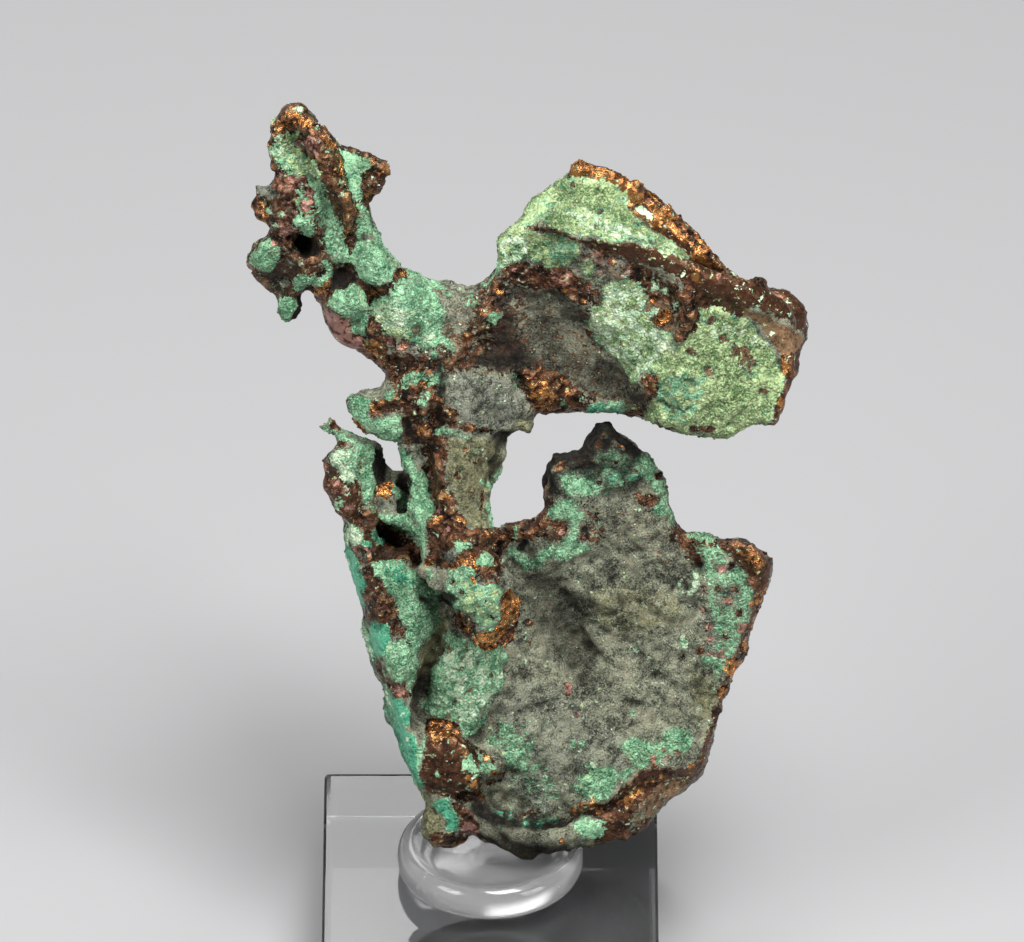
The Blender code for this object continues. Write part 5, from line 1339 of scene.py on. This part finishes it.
def surface_height(graph, bent, covers, green, coppery):
    """The height of the finest grains, flatter where the surface is smooth."""
    grains = graph.rest(graph.cells(bent, GRAIN_SIZE))
    lumps = graph.cells(bent, LUMP_SIZE)
    powder = graph.times(graph.grain(bent, *POWDER), graph.rest(graph.times(coppery, .6)))
    height = graph.plus(graph.times(grains, graph.level(green, .2, .75)), powder,
                        graph.times(lumps, graph.times(coppery, 1.2)))
    return graph.times(height, graph.rest(graph.times(covers["smooth"], .85)))


def weathered_copper():
    """The nugget's finish: patina under layers of copper, red oxide and green crust."""
    material, graph, output = blank_material("weathered_copper")
    bent, noises = copper_noises(graph)
    covers = stored_covers(graph)
    colour, rough, metal, green, coppery, lustre = layered_minerals(graph, noises, covers)
    colour = cracked(graph, bent, noises, covers, colour, green)
    colour = hollowed(graph, colour, green, coppery, lustre)

    medium = noises["medium"]
    shadow = graph.plus(covers["dark"], graph.swing(medium, .5))
    shadow = graph.times(graph.ramp(shadow, *SHADOW_EDGE), SHADOW_STRENGTH)
    depths = graph.ramp(graph.plus(medium, graph.times(noises["fine"], .4)), *SHADOW_TONE)
    darkest, lightest = SHADOWED
    colour = graph.blend(shadow, colour, graph.blend(depths, shade(*darkest), shade(*lightest)))
    metal = graph.times(metal, graph.rest(shadow))
    rough = graph.maths("ADD", rough, graph.swing(medium, .5), clamp=True)
    rough = graph.level(shadow, rough, SHADOW_ROUGHNESS)

    height = surface_height(graph, bent, covers, green, coppery)
    shader = graph.fill(graph.add("ShaderNodeBsdfPrincipled"), Specular_IOR_Level=SPECULAR,
                        Base_Color=colour, Roughness=rough, Metallic=metal,
                        Normal=graph.bump(height, BUMP_STRENGTH, BUMP_DEPTH))
    graph.give(output.inputs["Surface"], shader.outputs[0])
    return material


def clear_acrylic(name, tint, density, polish, clarity):
    """Clear acrylic, tinted by its depth, whose polish runs from least to greatest haze.

    A clarity under 1 is a faint milkiness of the surface.
    """
    material, graph, output = blank_material(name)
    stretched = graph.mapped(millimetres(graph), scale=SCUFF_STRETCH)
    scuffs = graph.add("ShaderNodeTexNoise", stretched, None, *SCUFF_NOISE).outputs[0]
    shader = graph.fill(graph.add("ShaderNodeBsdfPrincipled"), Base_Color=ACRYLIC_COLOUR,
                        IOR=ACRYLIC_IOR, Transmission_Weight=clarity,
                        Roughness=graph.ramp(scuffs, *SCUFF_RANGE, *polish),
                        Normal=graph.bump(scuffs, SCUFF_STRENGTH, SCUFF_DEPTH))
    depth = graph.fill(graph.add("ShaderNodeVolumeAbsorption"), Color=shade(*tint),
                       Density=density)
    graph.give(output.inputs["Surface"], shader.outputs[0])
    graph.give(output.inputs["Volume"], depth.outputs[0])
    return material


def scatter_tree(name, crystal):
    """Geometry Nodes that scatter a crystal over a skin where one of its attributes is high."""
    tree = bpy.data.node_groups.new(name, "GeometryNodeTree")
    face = tree.interface
    face.new_socket("Geometry", in_out="INPUT", socket_type="NodeSocketGeometry")
    for title, kind, value in SCATTER_INPUTS:
        face.new_socket(title, in_out="INPUT", socket_type=kind).default_value = value
    face.new_socket("Finish", in_out="INPUT", socket_type="NodeSocketMaterial")
    face.new_socket("Geometry", in_out="OUTPUT", socket_type="NodeSocketGeometry")
    graph = Graph(tree)
    given = graph.add("NodeGroupInput").outputs
    cover = graph.add("GeometryNodeInputNamedAttribute", given["Cover"], data_type="FLOAT")
    spread = graph.add("GeometryNodeDistributePointsOnFaces", distribute_method="RANDOM")
    graph.fill(spread, Mesh=given["Geometry"], Seed=given["Seed"],
               Density=graph.times(cover.outputs["Attribute"], given["Density"]))
    size = graph.add("FunctionNodeRandomValue", data_type="FLOAT")
    graph.give(size.inputs[2], given["Least size"])
    graph.give(size.inputs[3], given["Greatest size"])
    flat = graph.add("ShaderNodeCombineXYZ", 1.0, 1.0, given["Flatness"]).outputs[0]
    scale = graph.fill(graph.add("ShaderNodeVectorMath", flat, None, operation="SCALE"),
                       Scale=size.outputs[1])
    spin = graph.add("FunctionNodeRandomValue", (-TILT, -TILT, 0), (TILT, TILT, FULL_TURN),
                     data_type="FLOAT_VECTOR")
    euler = graph.add("FunctionNodeEulerToRotation", spin.outputs[0]).outputs[0]
    turn = graph.add("FunctionNodeRotateRotation", spread.outputs["Rotation"], euler,
                     rotation_space="LOCAL")
    if crystal == "grain":
        shape = graph.fill(graph.add("GeometryNodeMeshIcoSphere"), Radius=.5, Subdivisions=1)
    else:
        shape = graph.fill(graph.add("GeometryNodeMeshCube"), Size=(1, 1, 1))
    put = graph.fill(graph.add("GeometryNodeInstanceOnPoints"), Points=spread.outputs["Points"],
                     Instance=shape.outputs["Mesh"], Rotation=turn.outputs[0],
                     Scale=scale.outputs[0])
    real = graph.add("GeometryNodeRealizeInstances", put.outputs[0])
    finish = graph.fill(graph.add("GeometryNodeSetMaterial"), Geometry=real.outputs[0],
                        Material=given["Finish"])
    graph.add("NodeGroupOutput", finish.outputs[0])
    return tree


def scattered(skin, name, crystal, smooth, **values):
    """Crystals scattered over the skin and joined into one piece."""
    helper = placed("helper", skin.data.copy())
    tree = scatter_tree(name + "_scatter", crystal)
    modifier = helper.modifiers.new("scatter", "NODES")
    modifier.node_group = tree
    sockets = {item.name: item.identifier for item in tree.interface.items_tree
               if item.in_out == "INPUT"}
    for title, value in values.items():
        modifier[sockets[title.replace("_", " ").capitalize()]] = value
    mesh = evaluated_copy(helper, name)
    remove_piece(helper)
    shade_smooth(mesh, smooth)
    piece = placed(name, mesh)
    if not mesh.materials:
        mesh.materials.append(values["finish"])
    return piece


class NuggetFinish(bpy.types.PropertyGroup):
    """Sizes of the nugget's skin and of what is scattered over it."""
    skin_detail: FloatProperty(
        name="Skin detail", description="Width of the skin's faces, in millimetres",
        default=.342, min=.2, max=1)
    skin_passes: IntProperty(
        name="Skin smoothing", description="Smoothing passes on the regrown skin",
        default=5, min=0, max=30)
    grain_density: FloatProperty(
        name="Grain density", description="Malachite grains on each square millimetre",
        default=3.0, min=0)
    grain_size: FloatProperty(
        name="Grain size", description="Width of the largest malachite grain",
        default=.42 * MM, min=0, subtype="DISTANCE", unit="LENGTH")
    crystal_density: FloatProperty(
        name="Crystal density", description="Copper crystals on each square millimetre",
        default=4.0, min=0)
    crystal_size: FloatProperty(
        name="Crystal size", description="Width of the largest copper crystal",
        default=.3 * MM, min=0, subtype="DISTANCE", unit="LENGTH")
    seed: IntProperty(name="Seed", description="Changes where grains and crystals fall", default=7)


class StandFinish(bpy.types.PropertyGroup):
    """Sizes and tint of the clear seat and its display block."""
    seat_steps: IntProperty(
        name="Seat steps", description="Faces round the seat", default=160, min=24)
    seat_density: FloatProperty(
        name="Seat depth of tint", description="How fast the seat's tint deepens with depth",
        default=1.2, min=0)
    seat_clarity: FloatProperty(
        name="Seat clarity", description="How clear the seat is, from milky at 0 to clear at 1",
        default=.91, min=0, max=1, subtype="FACTOR")
    block_rounding: FloatProperty(
        name="Block rounding", description="Radius of the display block's edges",
        default=.7 * MM, min=0, subtype="DISTANCE", unit="LENGTH")
    block_density: FloatProperty(
        name="Block depth of tint", description="How fast the block's tint deepens with depth",
        default=62.0, min=0)


class StageFinish(bpy.types.PropertyGroup):
    """The floor and the lights."""
    floor_colour: FloatVectorProperty(
        name="Floor colour", description="Colour of the plain floor", subtype="COLOR",
        default=(.33, .33, .335), min=0, max=1)
    key_power: FloatProperty(
        name="Key light", description="Power of the overhead light", default=4.0, min=0,
        unit="POWER")
    fill_power: FloatProperty(
        name="Side light", description="Power of the light from the left, which the others follow",
        default=2.6, min=0, unit="POWER")
    sky: FloatProperty(
        name="Room light", description="Strength of the even light all round", default=.2, min=0)


class NUGGET_OT_skin(bpy.types.Operator):
    """Grows the nugget's skin over its solid and lays the minerals on it"""
    bl_idname = "nugget.skin"
    bl_label = "Nugget skin"

    def execute(self, context):
        finish = context.scene.nugget_finish
        mesh = finely_remeshed(merged_cad_copy("nugget"), finish.skin_detail, finish.skin_passes)
        seen = seen_from_front(mesh)
        places = sheet_places(points_and_edges(mesh)[0] * MM)
        pressed_relief(mesh, seen, places)
        cover = laid_minerals_and_shade(mesh, seen, places)
        roughened(mesh, cover)
        store_cover(mesh, cover)
        set_points(mesh, points_and_edges(mesh)[0] * MM)
        shade_smooth(mesh)
        skin = placed("nugget_skin", mesh)
        mesh.name = "nugget_skin"
        mesh.materials.clear()
        mesh.materials.append(weathered_copper())
        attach(skin, BODY)
        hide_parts("nugget")
        return {"FINISHED"}


class NUGGET_OT_grains(bpy.types.Operator):
    """Scatters malachite grains over the green crust"""
    bl_idname = "nugget.grains"
    bl_label = "Malachite grains"

    def execute(self, context):
        finish = context.scene.nugget_finish
        skin = bpy.data.objects["nugget_skin"]
        grains = scattered(skin, "malachite_grains", "grain", True, cover="crust",
                           density=finish.grain_density / MM ** 2,
                           least_size=finish.grain_size * .45, greatest_size=finish.grain_size,
                           flatness=.75, seed=finish.seed, finish=skin.data.materials[0])
        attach(grains, BODY)
        return {"FINISHED"}


class NUGGET_OT_crystals(bpy.types.Operator):
    """Scatters small faceted crystals over the bare copper"""
    bl_idname = "nugget.crystals"
    bl_label = "Copper crystals"

    def execute(self, context):
        finish = context.scene.nugget_finish
        skin = bpy.data.objects["nugget_skin"]
        crystals = scattered(skin, "copper_crystals", "crystal", False, cover="sparkle",
                             density=finish.crystal_density / MM ** 2,
                             least_size=finish.crystal_size * .35,
                             greatest_size=finish.crystal_size, flatness=.6,
                             seed=finish.seed + 1, finish=skin.data.materials[0])
        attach(crystals, BODY)
        return {"FINISHED"}


class NUGGET_OT_seat(bpy.types.Operator):
    """Turns the clear seat that cups the nugget"""
    bl_idname = "nugget.seat"
    bl_label = "Clear seat"

    def execute(self, context):
        finish = context.scene.stand_finish
        middle = (SEAT_LOW + SEAT_HIGH) / 2
        mesh = turned(rounded_outline(SEAT_OUTLINE), finish.seat_steps)
        points, _ = points_and_edges(mesh)
        size = np.array(SEAT_HIGH - SEAT_LOW) / (points.max(0) - points.min(0))
        set_points(mesh, points * size + np.array((middle.x, middle.y, SEAT_LOW.z)))
        shade_smooth(mesh)
        mesh.materials.append(clear_acrylic("clear_seat_acrylic", SEAT_TINT, finish.seat_density,
                                            SEAT_POLISH, finish.seat_clarity))
        seat = placed("clear_seat", mesh)
        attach(seat, BODY)
        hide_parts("seat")
        return {"FINISHED"}


def turned(outline, steps):
    """A closed mesh turned about the upright axis from an outline that starts and ends on it."""
    rings = outline[1:-1]
    angles = [math.tau * step / steps for step in range(steps)]
    points = [(r * math.cos(a), r * math.sin(a), z) for r, z in rings for a in angles]
    foot, top = len(points), len(points) + 1
    points += [(0, 0, outline[0][1]), (0, 0, outline[-1][1])]
    last = (len(rings) - 1) * steps
    faces = []
    for step in range(steps):
        after = (step + 1) % steps
        faces.append((foot, after, step))
        faces.append((top, last + step, last + after))
        for ring in range(0, last, steps):
            faces.append((ring + step, ring + after, ring + steps + after, ring + steps + step))
    mesh = bpy.data.meshes.new("clear_seat")
    mesh.from_pydata(points, [], faces)
    mesh.update()
    return mesh


def rounded_outline(outline):
    """The turned outline in metres, with its corners cut twice so that it reads as one curve."""
    points = [np.array(p, float) * MM for p in outline]
    for _ in range(2):
        cut = [points[0]]
        for a, b in zip(points, points[1:]):
            cut += [a * .75 + b * .25, a * .25 + b * .75]
        points = cut + [points[-1]]
    return [tuple(p) for p in points]


class NUGGET_OT_block(bpy.types.Operator):
    """Cuts the acrylic display block under the seat"""
    bl_idname = "nugget.block"
    bl_label = "Display block"

    def execute(self, context):
        finish = context.scene.stand_finish
        middle, size = (BLOCK_LOW + BLOCK_HIGH) / 2, BLOCK_HIGH - BLOCK_LOW
        shape = bmesh.new()
        bmesh.ops.create_cube(shape, size=1)
        bmesh.ops.scale(shape, vec=size, verts=shape.verts)
        bmesh.ops.translate(shape, vec=middle, verts=shape.verts)
        bmesh.ops.bevel(shape, geom=shape.edges[:], offset=finish.block_rounding, segments=3,
                        profile=.6, affect="EDGES", clamp_overlap=True)
        mesh = mesh_of(shape, "smoked_block")
        mesh.materials.append(clear_acrylic("smoked_acrylic", BLOCK_TINT, finish.block_density,
                                            BLOCK_POLISH, BLOCK_CLARITY))
        block = placed("smoked_block", mesh)
        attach(block, BODY)
        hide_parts("display_block")
        return {"FINISHED"}


def area_light(name, place, size, power, through):
    """A soft square light aimed at the middle, which may be hidden from rays through acrylic."""
    data = bpy.data.lights.new(name, "AREA")
    data.size, data.energy = size, power
    lamp = placed(name, data)
    lamp.location = place
    lamp.visible_transmission = through
    aim(lamp, SHEET_MIDDLE - lamp.location)


def aim(thing, direction):
    """Turns a light or a camera to look in a direction."""
    thing.rotation_mode = "QUATERNION"
    thing.rotation_quaternion = direction.to_track_quat("-Z", "Y")


def matt_floor(colour):
    """The floor's finish: a plain colour, very faintly uneven."""
    material, graph, output = blank_material("matt_floor")
    place = graph.add("ShaderNodeTexCoord").outputs["Object"]
    tone = graph.add("ShaderNodeTexNoise", place, None, *FLOOR_NOISE).outputs[0]
    dim = (*(level * FLOOR_DIMMING for level in colour), 1)
    shader = graph.fill(graph.add("ShaderNodeBsdfPrincipled"), Roughness=FLOOR_ROUGHNESS,
                        Base_Color=graph.blend(tone, dim, (*colour, 1)))
    graph.give(output.inputs["Surface"], shader.outputs[0])
    return material


class NUGGET_OT_stage(bpy.types.Operator):
    """Lays the floor and sets the lights and the camera"""
    bl_idname = "nugget.stage"
    bl_label = "Floor, lights and camera"

    def execute(self, context):
        scene, finish = context.scene, context.scene.stage_finish
        shape = bmesh.new()
        bmesh.ops.create_circle(shape, cap_ends=True, segments=FLOOR_SIDES, radius=FLOOR_RADIUS)
        mesh = mesh_of(shape, "floor")
        mesh.materials.append(matt_floor(finish.floor_colour))
        floor = placed("floor", mesh)
        floor.location.z = CAD_LOW.z - FLOOR_GAP

        for name, place, size, setting, share, through in LIGHTS:
            area_light(name, place, size, getattr(finish, setting) * share, through)
        scene.world = bpy.data.worlds.new("room")
        scene.world.use_nodes = True
        background = scene.world.node_tree.nodes["Background"]
        background.inputs["Color"].default_value = (1, 1, 1, 1)
        background.inputs["Strength"].default_value = finish.sky
        scene.view_settings.view_transform = "Standard"

        lens = bpy.data.cameras.new("camera")
        lens.sensor_width = FILM_WIDTH
        lens.lens = FILM_WIDTH * VIEW_DISTANCE / (SHEET_SIZE[0] * SHEET_UNIT)
        lens.clip_start, lens.clip_end = NEAREST_SEEN, FURTHEST_SEEN
        scene.camera = placed("camera", lens)
        scene.camera.location = CAMERA_PLACE
        aim(scene.camera, -TOWARDS)
        return {"FINISHED"}


STEPS = (NUGGET_OT_skin, NUGGET_OT_grains, NUGGET_OT_crystals, NUGGET_OT_seat, NUGGET_OT_block,
         NUGGET_OT_stage)


class NUGGET_PT_panel(bpy.types.Panel):
    """Lists the pieces of the nugget and the sizes a user may change"""
    bl_label = "Copper nugget"
    bl_space_type = "VIEW_3D"
    bl_region_type = "UI"
    bl_category = "Nugget"

    def draw(self, context):
        for group in ("nugget_finish", "stand_finish", "stage_finish"):
            box = self.layout.box()
            settings = getattr(context.scene, group)
            for name in settings.__annotations__:
                box.prop(settings, name)
        for step in STEPS:
            self.layout.operator(step.bl_idname)


GROUPS = {"nugget_finish": NuggetFinish, "stand_finish": StandFinish, "stage_finish": StageFinish}


def register():
    """Registers the settings, the steps and the panel."""
    for name, group in GROUPS.items():
        bpy.utils.register_class(group)
        setattr(bpy.types.Scene, name, PointerProperty(type=group))
    for step in STEPS:
        bpy.utils.register_class(step)
    bpy.utils.register_class(NUGGET_PT_panel)


def unregister():
    """Takes the panel, the steps and the settings out again."""
    bpy.utils.unregister_class(NUGGET_PT_panel)
    for step in reversed(STEPS):
        bpy.utils.unregister_class(step)
    for name, group in GROUPS.items():
        delattr(bpy.types.Scene, name)
        bpy.utils.unregister_class(group)


def main():
    """Makes every piece in order."""
    register()
    for step in STEPS:
        group, name = step.bl_idname.split(".")
        getattr(getattr(bpy.ops, group), name)()


if __name__ == "__main__":
    main()
